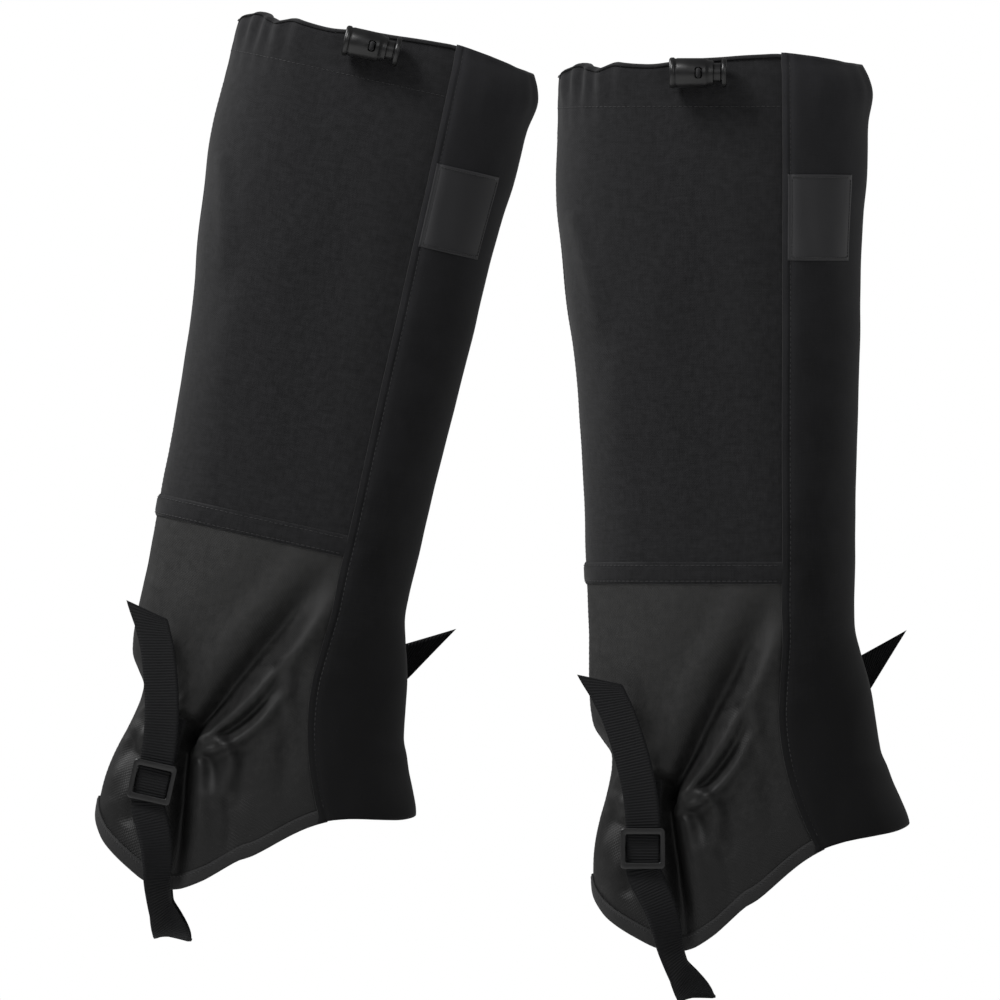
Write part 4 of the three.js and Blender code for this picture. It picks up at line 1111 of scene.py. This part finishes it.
def buckle_tab(name, centre, sign):
    """A tab from the cloth, round the buckle's bar and back. Sign is -1 on the outer side."""
    bar_y = WEB_Y - BAR_DEPTH
    sewn = -leg(angle_of_x(TAB[0], TAB[1]), TAB[1], TAB_OUT)[1]
    half_way = ((sewn + bar_y - LOOP_R) / 2, (TAB[1] + centre[1]) / 2 + 3)
    skew = (-0.36, sign * 0.93, 0)
    lap = tuple(-v for v in skew)
    route = [((TAB[0], sewn, TAB[1] + 8), skew), ((TAB[0] - 0.5, sewn + 0.2, TAB[1] - 2), skew),
             ((centre[0] + 2, half_way[0], half_way[1]), (-0.15, sign, 0)),
             ((centre[0] + 0.6, bar_y - LOOP_R, centre[1] + 7), (0, sign, 0))]
    for a in (0, 45, 90, 135, 180):
        turn = math.radians(a)
        place = (centre[0], bar_y - LOOP_R * math.cos(turn), centre[1] - LOOP_R * math.sin(turn))
        route.append((place, (0, sign * math.cos(turn), math.sin(turn))))
    route += [((centre[0] + 0.6, bar_y + 0.2, centre[1] + 7), (0, -sign, 0)),
              ((centre[0] + 2, half_way[0] + 1.5, half_way[1]), (0.15, -sign, 0)),
              ((TAB[0] - 0.5, sewn + 1.5, TAB[1] - 2), lap), ((TAB[0], sewn + 1.25, TAB[1] + 8), lap)]
    route = [((x, sign * y, z), out) for (x, y, z), out in route]
    made = ribbon(name, route, WEB_WIDTH - 2, 0.95, 0.5, rib=0.05)
    return keep(made, "strap", [name.replace("webbing", "strap")], "webbing", WEBBING)


buckle_tab("outer_webbing_tab", OUTER_BUCKLE, -1)
inner_tab = buckle_tab("inner_webbing_tab", INNER_BUCKLE, 1)
print("tabs", len(inner_tab.data.polygons), "faces each")

# %% [markdown]
# ## Buckles
# The buckle is a moulded ladder-lock: a square frame in front of the webbing, two cheeks, and a
# round bar behind it for the tab. It is built from bars with a bevel on every edge, because moulded
# plastic has no sharp corners and the bevels catch the light.

# %% Bars with rounded edges
def baked(obj):
    """Apply an object's modifiers and keep the result as its mesh."""
    graph = bpy.context.evaluated_depsgraph_get()
    done = bpy.data.meshes.new_from_object(obj.evaluated_get(graph))
    obj.modifiers.clear()
    obj.data = done
    done.polygons.foreach_set("use_smooth", [True] * len(done.polygons))
    return obj


def bevel(obj, width, segments=3):
    """Round the sharp edges by a width in mm."""
    cut = obj.modifiers.new("bevel", "BEVEL")
    cut.width = width * MM
    cut.segments = segments
    cut.limit_method = "ANGLE"
    cut.angle_limit = math.radians(35)
    return baked(obj)


def outline(half_x, half_z, corner, steps=6):
    """A rectangle with round corners, as points (x, z)."""
    points = []
    for k, (cx, cz) in enumerate(((1, 1), (-1, 1), (-1, -1), (1, -1))):
        centre_x, centre_z = cx * (half_x - corner), cz * (half_z - corner)
        for a in np.linspace(k * 90, k * 90 + 90, steps):
            turn = math.radians(a)
            points.append((centre_x + corner * math.cos(turn), centre_z + corner * math.sin(turn)))
    return np.array(points)


def frame_mesh(name, outer, inner, front, back):
    """A frame between two outlines; front and back are functions of (x, z)."""
    loops = [(outer, front), (inner, front), (inner, back), (outer, back)]
    verts = np.concatenate([[(x, depth(x, z), z) for x, z in shape] for shape, depth in loops])
    n = len(outer)
    faces = [(k * n + i, k * n + (i + 1) % n, ((k + 1) % 4) * n + (i + 1) % n, ((k + 1) % 4) * n + i)
             for k in range(4) for i in range(n)]
    return make_object(name, verts * MM, faces)


def joined(name, objects):
    """Join several closed bodies into one mesh."""
    mesh = bmesh.new()
    for obj in objects:
        part = obj.data.copy()
        part.transform(obj.matrix_world)
        mesh.from_mesh(part)
        bpy.data.meshes.remove(part)
        bpy.data.objects.remove(obj)
    made = bpy.data.meshes.new(name)
    mesh.to_mesh(made)
    mesh.free()
    whole = bpy.data.objects.new(name, made)
    scene.collection.objects.link(whole)
    made.polygons.foreach_set("use_smooth", [True] * len(made.polygons))
    return whole


print("a frame's outline has", len(outline(10, 10, 2)), "points")

# %% [markdown]
# Round parts are turned: a closed profile is spun about an axis. Where the profile touches the
# axis, its ring shrinks to one point.

# %% Turned parts
ON_AXIS = 1e-6


def lathe(name, profile, segments=48):
    """Turn a closed profile of (radius, place) about the X axis."""
    ring = np.linspace(0, math.tau, segments, endpoint=False)
    verts, faces, first = [], [], []
    for r, x in profile:
        first.append(len(verts))
        if r < ON_AXIS:
            verts.append((x, 0, 0))
        else:
            verts += [(x, r * math.cos(a), r * math.sin(a)) for a in ring]
    for k in range(len(profile)):
        a, b = k, (k + 1) % len(profile)
        ra, rb = profile[a][0], profile[b][0]
        for i in range(segments):
            j = (i + 1) % segments
            if ra < ON_AXIS and rb < ON_AXIS:
                continue
            if ra < ON_AXIS:
                faces.append((first[a], first[b] + j, first[b] + i))
            elif rb < ON_AXIS:
                faces.append((first[a] + i, first[a] + j, first[b]))
            else:
                faces.append((first[a] + i, first[a] + j, first[b] + j, first[b] + i))
    return make_object(name, np.array(verts) * MM, faces)


print("lathe ready, 48 sides")

# %% [markdown]
# The buckle's frame bows out a little at its two bars. The cheeks reach back past the webbing to
# the rod that the tab goes round. The inner buckle is the same one, turned to face the other way.

# %% Two buckles
FRAME_HALF_HEIGHT = 10.6
FRAME_BAR = 3.3
FRAME_DEPTH = 2.4
CHEEK = 1.05


def buckle(name, centre, sign):
    """One buckle at a centre (x, z). Sign is -1 on the outer side."""
    gap, front = WEB_WIDTH / 2 + 0.45, WEB_THICK / 2 + 0.45

    def bow(x, z):
        """The frame's front face."""
        curve = 0.5 * (1 - (x / (gap + 2 * CHEEK)) ** 2) * (abs(z) / FRAME_HALF_HEIGHT) ** 4
        return -(front + FRAME_DEPTH + curve)

    rim = outline(gap + 2 * CHEEK, FRAME_HALF_HEIGHT, 2.2)
    window = outline(gap - 0.4, FRAME_HALF_HEIGHT - FRAME_BAR, 0.9)
    plate = frame_mesh(f"{name}_plate", rim, window, bow, lambda x, z: -front)
    parts = [bevel(plate, 0.55)]
    for s in (-1, 1):
        cheek = frame_mesh(f"{name}_cheek_{s + 1}", outline(CHEEK, 3.4, 0.9), outline(0.02, 0.02, 0.01),
                           lambda x, z: -(front + 0.2), lambda x, z: BAR_DEPTH + 1.3)
        cheek.data.transform(Matrix.Translation((s * (gap + CHEEK) * MM, 0, 0)))
        parts.append(bevel(cheek, 0.25, 2))
    rod = lathe(f"{name}_rod", [(0, -gap - 0.4), (1.2, -gap - 0.4), (1.2, gap + 0.4), (0, gap + 0.4)], 24)
    rod.data.transform(Matrix.Translation((0, BAR_DEPTH * MM, 0)))
    parts.append(rod)
    whole = joined(name, parts)
    if sign > 0:
        whole.data.transform(Matrix.Rotation(math.pi, 4, "Z"))
    whole.data.transform(Matrix.Translation((centre[0] * MM, sign * WEB_Y * MM, centre[1] * MM)))
    return keep(whole, "strap", [name.replace("_ladder", "")], "moulded_plastic", PLASTIC)


buckle("outer_ladder_buckle", OUTER_BUCKLE, -1)
inner_buckle = buckle("inner_ladder_buckle", INNER_BUCKLE, 1)
print("buckles", len(inner_buckle.data.polygons), "faces each")

# %% [markdown]
# ## Cord lock, eyelet and drawcord
# The cord lock is a barrel with a sprung plunger. Both have a slot across them, and the spring
# pushes the slots out of line to pinch the cord. Pressing the plunger's disc lets it run. Turned
# parts come from a profile spun about an axis, and the slots are cut afterwards.

# %% Slots and edges
LOCK_HOLE = -13.0
CORD_Z = 479.5
LOCK_Y = -70.4
LOCK_START, LOCK_END = -28.0, -5.0


def slot_cut(obj, centre_x, half_x, half_z, corner):
    """Cut a slot with round corners right through, along Y."""
    ring = outline(half_x, half_z, corner)
    verts = [(centre_x + x, y, z) for y in (-12.0, 12.0) for x, z in ring]
    n = len(ring)
    faces = [tuple(range(n)), tuple(range(2 * n - 1, n - 1, -1))]
    faces += [(i, (i + 1) % n, n + (i + 1) % n, n + i) for i in range(n)]
    cutter = make_object(f"{obj.name}_cutter", np.array(verts) * MM, faces, smooth=False)
    cut = obj.modifiers.new("slot", "BOOLEAN")
    cut.operation = "DIFFERENCE"
    cut.solver = "EXACT"
    cut.object = cutter
    baked(obj)
    bpy.data.objects.remove(cutter)
    return obj


def smooth_by_angle(obj, degrees=40):
    """Shade smoothly, except across edges sharper than the angle."""
    mesh = bmesh.new()
    mesh.from_mesh(obj.data)
    for edge in mesh.edges:
        edge.smooth = len(edge.link_faces) != 2 or edge.calc_face_angle() < math.radians(degrees)
    mesh.to_mesh(obj.data)
    mesh.free()
    return obj


print("the lock is", LOCK_END - LOCK_START, "mm long")

# %% [markdown]
# The barrel's profile has the two rings that fingers grip, and the plunger ends in a disc. Both
# are given from the axis out and back to it, as (radius, place along the barrel).

# %% Barrel and plunger
barrel = lathe("lock_barrel", [
    (0, LOCK_START + 0.5), (5.6, LOCK_START + 0.3), (6.9, LOCK_START), (7.6, LOCK_START + 0.35),
    (8.0, LOCK_START + 1.0), (8.05, LOCK_START + 2.2), (7.9, LOCK_START + 2.7), (7.5, LOCK_START + 3.1),
    (7.45, LOCK_START + 3.6), (7.7, LOCK_START + 4.2), (7.7, LOCK_END - 4.6), (7.5, LOCK_END - 4.0),
    (7.0, LOCK_END - 3.2), (6.5, LOCK_END - 1.6), (6.6, LOCK_END - 1.0), (6.5, LOCK_END - 0.4),
    (6.0, LOCK_END), (5.4, LOCK_END), (5.3, LOCK_END - 0.4), (5.3, LOCK_START + 2), (0, LOCK_START + 2),
])
slot_cut(barrel, LOCK_HOLE, 2.0, 3.0, 1.4)
plunger = lathe("lock_plunger", [
    (0, LOCK_HOLE - 3.55), (4.6, LOCK_HOLE - 3.55), (4.95, LOCK_HOLE - 3.2), (4.95, -1.6), (4.3, -1.2),
    (4.3, -0.8), (6.9, -0.8), (7.5, -0.55), (7.7, -0.1), (7.7, 0.8), (7.45, 1.45), (6.8, 1.8),
    (6.2, 1.8), (5.9, 1.55), (0, 1.35),
])
slot_cut(plunger, LOCK_HOLE + 2.0, 3.55, 3.0, 1.4)
for turned_part in (barrel, plunger):
    smooth_by_angle(turned_part)
    turned_part.data.transform(Matrix.Translation((0, LOCK_Y * MM, CORD_Z * MM)))
keep(barrel, "cord_lock", ["cord_lock_body"], "moulded_plastic", PLASTIC)
keep(plunger, "lock_button", ["cord_lock_button"], "moulded_plastic", PLASTIC)
print("barrel and plunger", len(barrel.data.polygons), len(plunger.data.polygons), "faces")

# %% [markdown]
# The spring and the cord are both round rods on a path. A frame is carried along the path without
# twisting, and a ring of points is set in it at each step.

# %% Round rods and the spring
def tube(name, points, radius, steps, sides=10):
    """A round cord along the points, with rounded ends."""
    centre, _, length = spline(points, steps)
    ahead = unit(np.gradient(centre, axis=0))
    guide = np.array([0.0, 0.0, 1.0])
    frames = []
    for direction in ahead:
        guide = guide - direction * np.dot(guide, direction)
        if np.linalg.norm(guide) < 1e-3:
            guide = np.cross(direction, (1.0, 0.3, 0.2))
        guide = guide / np.linalg.norm(guide)
        frames.append((guide, np.cross(direction, guide)))
    run = np.linspace(0, length, steps)
    thin = radius * np.sqrt(np.clip(np.minimum(run, length - run) / radius, 0.15, 1))
    verts, uvs = [], []
    for k, (a, b) in enumerate(frames):
        for i in range(sides):
            turn = math.tau * i / sides
            verts.append(centre[k] + thin[k] * (a * math.cos(turn) + b * math.sin(turn)))
            uvs.append((radius * turn * MM, run[k] * MM))
    faces = []
    for k in range(0, (steps - 1) * sides, sides):
        faces += [(k + i, k + (i + 1) % sides, k + sides + (i + 1) % sides, k + sides + i)
                  for i in range(sides)]
    faces += [tuple(range(sides)), tuple(range(steps * sides - 1, (steps - 1) * sides - 1, -1))]
    return make_object(name, np.array(verts) * MM, faces, np.array(uvs))


SPRING_TURNS, SPRING_R = 3.5, 4.1
coil_turns = [math.tau * SPRING_TURNS * u for u in np.linspace(0, 1, 85)]
reach = np.linspace(LOCK_START + 2.9, LOCK_HOLE - 4.4, len(coil_turns))
coil = [(x, LOCK_Y + SPRING_R * math.cos(a), CORD_Z + SPRING_R * math.sin(a))
        for x, a in zip(reach, coil_turns)]
spring = tube("lock_spring", coil, 0.38, 260, 8)
keep(spring, "cord_lock", ["cord_lock_spring"], "spring_steel", SPRING)
print("spring", SPRING_TURNS, "turns over", round(reach[-1] - reach[0], 2), "mm")

# %% [markdown]
# The cord leaves the casing through a metal eyelet, so that it doesn't fray the cloth. The eyelet
# is a turned ring with a rolled lip, set flat on the cloth behind the lock.

# %% Eyelet
hole_t = float(angle_of_x(LOCK_HOLE, 484.0))
cloth_y = float(cloth(hole_t, CORD_Z)[1])
lip = [(3.2, -0.4), (3.2, 1.5), (3.5, 1.95), (4.3, 2.15), (5.2, 1.9), (5.75, 1.45), (5.8, 1.12),
       (4.3, 1.05), (4.3, -0.4)]
eyelet = lathe("cord_eyelet_ring", lip)
eyelet.data.transform(Matrix.Rotation(math.radians(-90), 4, "Z"))
eyelet.data.transform(Matrix.Translation((LOCK_HOLE * MM, cloth_y * MM, CORD_Z * MM)))
keep(eyelet, "gaiter", ["cord_eyelet"], "eyelet_metal", EYELET)

print("eyelet on the cloth at", round(cloth_y, 2), "mm")

# %% [markdown]
# The drawcord runs in the casing from the flap round to the eyelet, out through the lock, round a
# bend and back again, then on round the calf. Two strands pass the lock, one above the other.

# %% Drawcord
STRAND = 1.4
CORD_IN = 2.2
CORD_DRAWN_R = 1.2


def casing_run(start, stop, level):
    """Points inside the casing between two angles, every four degrees."""
    angles = np.arange(start, stop, 4.0 if stop > start else -4.0)
    return [tuple(cloth(a, level, -CORD_IN)) for a in angles]


lower_strand, upper_strand = CORD_Z - STRAND, CORD_Z + STRAND
bend_y = LOCK_Y - 10.7
cord_path = casing_run(float(tuck(484.0)) + 5, hole_t - 6, lower_strand)
through_lock = [(3.4, cloth_y + 2.0), (1.2, cloth_y + 1.0), (0, cloth_y - 1.0), (0, LOCK_Y + 4),
                (0, LOCK_Y - 4), (0, bend_y)]
cord_path += [(LOCK_HOLE + x, y, lower_strand) for x, y in through_lock]
for bend in (math.radians(a) for a in (45, 90, 135)):
    cord_path.append((LOCK_HOLE, bend_y - STRAND * math.sin(bend), CORD_Z - STRAND * math.cos(bend)))
cord_path += [(LOCK_HOLE - x, y, upper_strand) for x, y in reversed(through_lock)]
cord_path += casing_run(hole_t + 6, float(inner_front(484.0)) - 4, upper_strand)
drawcord = tube("elastic_drawcord", cord_path, CORD_DRAWN_R, 620)
keep(drawcord, "gaiter", ["drawcord"], "elastic", ELASTIC)
print("drawcord", round(spline(cord_path, 3)[2], 1), "mm long")

# %% [markdown]
# ## Lace hook
# Inside the flap's foot a small steel hook hangs on a tab. It grips the boot's lowest lace and
# keeps the gaiter from riding up. It is one flat steel bar bent into a hook.

# %% Lace hook and its tab
t, z = grid(constant(2), constant(12), constant(104), constant(124), 10, 16)
hang = flap_lift(t, z)[0]
keep(layer("lace_hook_tape", t, z, hang - 1.5, hang - 0.6), "flap", ["lace_hook_tab"], "trim_tape", TRIM)
HOOK_TOP, HOOK_LOW, HOOK_BEND, HOOK_Y = 120.0, 99.0, 3.8, -6
hook_x = float(leg(4, HOOK_TOP)[0]) - 1.6
hook_route = [((hook_x, HOOK_Y, h), (1, 0, 0)) for h in (HOOK_TOP, 114.0, 107.0)]
for bend in (math.radians(a) for a in range(0, 181, 30)):
    bend_x = hook_x - HOOK_BEND + HOOK_BEND * math.cos(bend)
    bend_z = HOOK_LOW - HOOK_BEND * math.sin(bend)
    hook_route.append(((bend_x, HOOK_Y, bend_z), (math.cos(bend), 0, -math.sin(bend))))
tip_x = hook_x - 2 * HOOK_BEND
hook_route += [((tip_x, HOOK_Y, 103.0), (-1, 0, 0)), ((tip_x - 0.6, HOOK_Y, 106.5), (-1, 0, -0.3))]
hook = ribbon("steel_lace_hook", hook_route, 7.0, 1.15, 0.6)
keep(hook, "flap", ["lace_hook"], "hook_steel", HOOK_STEEL)
print("lace hook", len(hook.data.polygons), "faces")

# %% [markdown]
# ## Stitches
# Every seam that shows is sewn again here, one small stitch at a time. A row follows a line on the
# cloth. Each stitch is a short round bar that sinks into the cloth at both ends.

# %% Stitch maker
STITCH_SIDES = 6
STITCH_R = 0.24
STITCH_PLACES = (-0.5, -0.38, 0.0, 0.38, 0.5)


def stitch_rings(at, ahead, up, long, start):
    """The points and map of one stitch: a ring at each of its places, thin and sunk at the ends."""
    aside = np.cross(ahead, up)
    points, places = [], []
    for f in STITCH_PLACES:
        thin = STITCH_R * (0.55 + 0.45 * math.cos(math.pi * f) ** 0.5 if abs(f) < 0.5 else 0.45)
        sink = -0.16 * (2 * f) ** 4
        for turn in (math.tau * i / STITCH_SIDES for i in range(STITCH_SIDES)):
            rise = up * (sink + thin * math.sin(turn) + 0.08)
            points.append(at + ahead * long * f + rise + aside * thin * math.cos(turn))
            places.append((turn * STITCH_R * MM, (start + long * f) * MM))
    return points, places


def stitch_faces(first):
    """The faces of one stitch whose points start at a number."""
    n, last = STITCH_SIDES, first + (len(STITCH_PLACES) - 1) * STITCH_SIDES
    faces = [(k + i, k + (i + 1) % n, k + n + (i + 1) % n, k + n + i)
             for k in range(first, last, n) for i in range(n)]
    return faces + [tuple(range(first, first + n)), tuple(range(last + n - 1, last - 1, -1))]


def stitch_mesh(name, rows):
    """All the stitches of some rows: (points, normals, pitch, stitch length, slant)."""
    verts, faces, uvs = [], [], []
    for p, n, pitch, long, slant in rows:
        run = path_run(p)
        for start in np.arange(pitch / 2, run[-1] - pitch / 2, pitch):
            at = at_place(start, run, p)
            up = unit(at_place(start, run, n))
            ahead = unit(at_place(start + 0.4, run, p) - at)
            ahead = unit(ahead + np.cross(ahead, up) * slant)
            faces += stitch_faces(len(verts))
            points, places = stitch_rings(at, ahead, up, long, start)
            verts += points
            uvs += places
    return make_object(name, np.array(verts) * MM, faces, np.array(uvs))


def row(t, z, out, pitch=2.7, long=2.0, slant=0.0):
    """A row along a line on the cloth."""
    points = cloth(t, z, out)
    return points, points - cloth(t, z, np.asarray(out) - 1.0), pitch, long, slant


print("a stitch has", len(stitch_faces(0)), "faces")

# %% [markdown]
# The sleeve has a row below the casing, two along the band and two beside the heel seam. The hem's
# row is dense and slanted, like an overlock stitch.

# %% Rows on the sleeve and the hem
round_leg = np.linspace(float(under_flap(JOIN)) + 6, float(inner_front(JOIN)) - 2, 400)
round_top = np.linspace(float(flap_free(465.0)) - 2, float(inner_front(465.0)) - 2, 400)
body_rows = [
    row(round_top, 0 * round_top + 462.3, THICK),
    row(round_leg, 0 * round_leg + JOIN + 4.1, 2.12),
    row(round_leg, 0 * round_leg + JOIN - 4.1, 2.12),
]
for beside_seam in (177.2, 182.8):
    for seam_run in (np.linspace(68, JOIN - 7, 200), np.linspace(JOIN + 7, 478, 300)):
        body_rows.append(row(0 * seam_run + beside_seam, seam_run, THICK - 0.15))
keep(stitch_mesh("sleeve_stitches", body_rows), "gaiter", [], "trim_tape", THREAD)
round_hem = np.linspace(float(flap_free(80.0)) + 1, float(inner_front(80.0)) - 2, 500)
hem_rows = [row(round_hem, hem(round_hem) + 5.2, 2.05, 1.9, 1.9, 0.9)]
keep(stitch_mesh("hem_stitches", hem_rows), "gaiter", [], "trim_tape", THREAD)

print("rows", len(body_rows), "on the sleeve,", len(hem_rows), "on the hem")

# %% [markdown]
# The flap has a row in the groove beside its free edge and one down its seam. The label is sewn on
# all round, with shorter stitches.

# %% Rows on the flap and the label
up_flap = np.linspace(84, 486, 300)
beside = angle_of_x(flap_edge_x(up_flap) + 3.6, up_flap)
seam_z = np.linspace(97, 484, 300)
seam_t = flap_sewn(seam_z) + 3
flap_rows = [row(beside, up_flap, flap_out(beside, up_flap)), row(seam_t, seam_z, flap_out(seam_t, seam_z))]

LABEL_INSET = 1.6
LABEL_SHARES = (0.05, 0.95)
label_low, label_high = LABEL_Z[0] + LABEL_INSET, LABEL_Z[1] - LABEL_INSET
label_lines = [(share, np.linspace(label_low, label_high, 60)) for share in LABEL_SHARES]
label_lines += [(np.linspace(*LABEL_SHARES, 60), np.full(60, edge_z)) for edge_z in (label_low, label_high)]
for share, heights in label_lines:
    side_t = label_turn(share, heights)
    flap_rows.append(row(side_t, heights, flap_out(side_t, heights) + 0.95, 1.7, 1.2))
keep(stitch_mesh("flap_stitches", flap_rows), "flap", [], "trim_tape", THREAD)
print("stitch faces", [len(item[0].data.polygons) for item in MADE[-3:]])

# %% [markdown]
# ## The pair
# Both gaiters are cut alike. The left one is a copy, turned back by the lean of a stride and set
# to the rear. Each piece rides on its own body, except the flap's cloth. That cloth bends where it
# is sewn; here it rides on no body, and its placing is baked into its mesh.

# %% Pair them and ride the bodies
LEAN = 12.6
REAR = (-0.2745, 0.180, 0.0255)
placing = {"right": Matrix.Identity(4),
           "left": Matrix.Translation(REAR) @ Matrix.Rotation(math.radians(LEAN), 4, "Y")}
spring_foot = Vector(coil[0]) * MM
spring_foot.y, spring_foot.z = LOCK_Y * MM, CORD_Z * MM

for side, place in placing.items():
    for obj, body, node_names, slot, _, _ in MADE:
        piece = bpy.data.objects.new(f"{side}_{obj.name}", obj.data.copy())
        piece.data.transform(place)
        scene.collection.objects.link(piece)
        if obj == flap_cloth:
            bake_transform(piece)
        else:
            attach(piece, f"{side}_{body}")
        if node_names:
            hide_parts(*[f"{side}_{name}" for name in node_names])
        if obj == spring:
            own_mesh(piece)
for obj, *_ in MADE:
    bpy.data.objects.remove(obj)
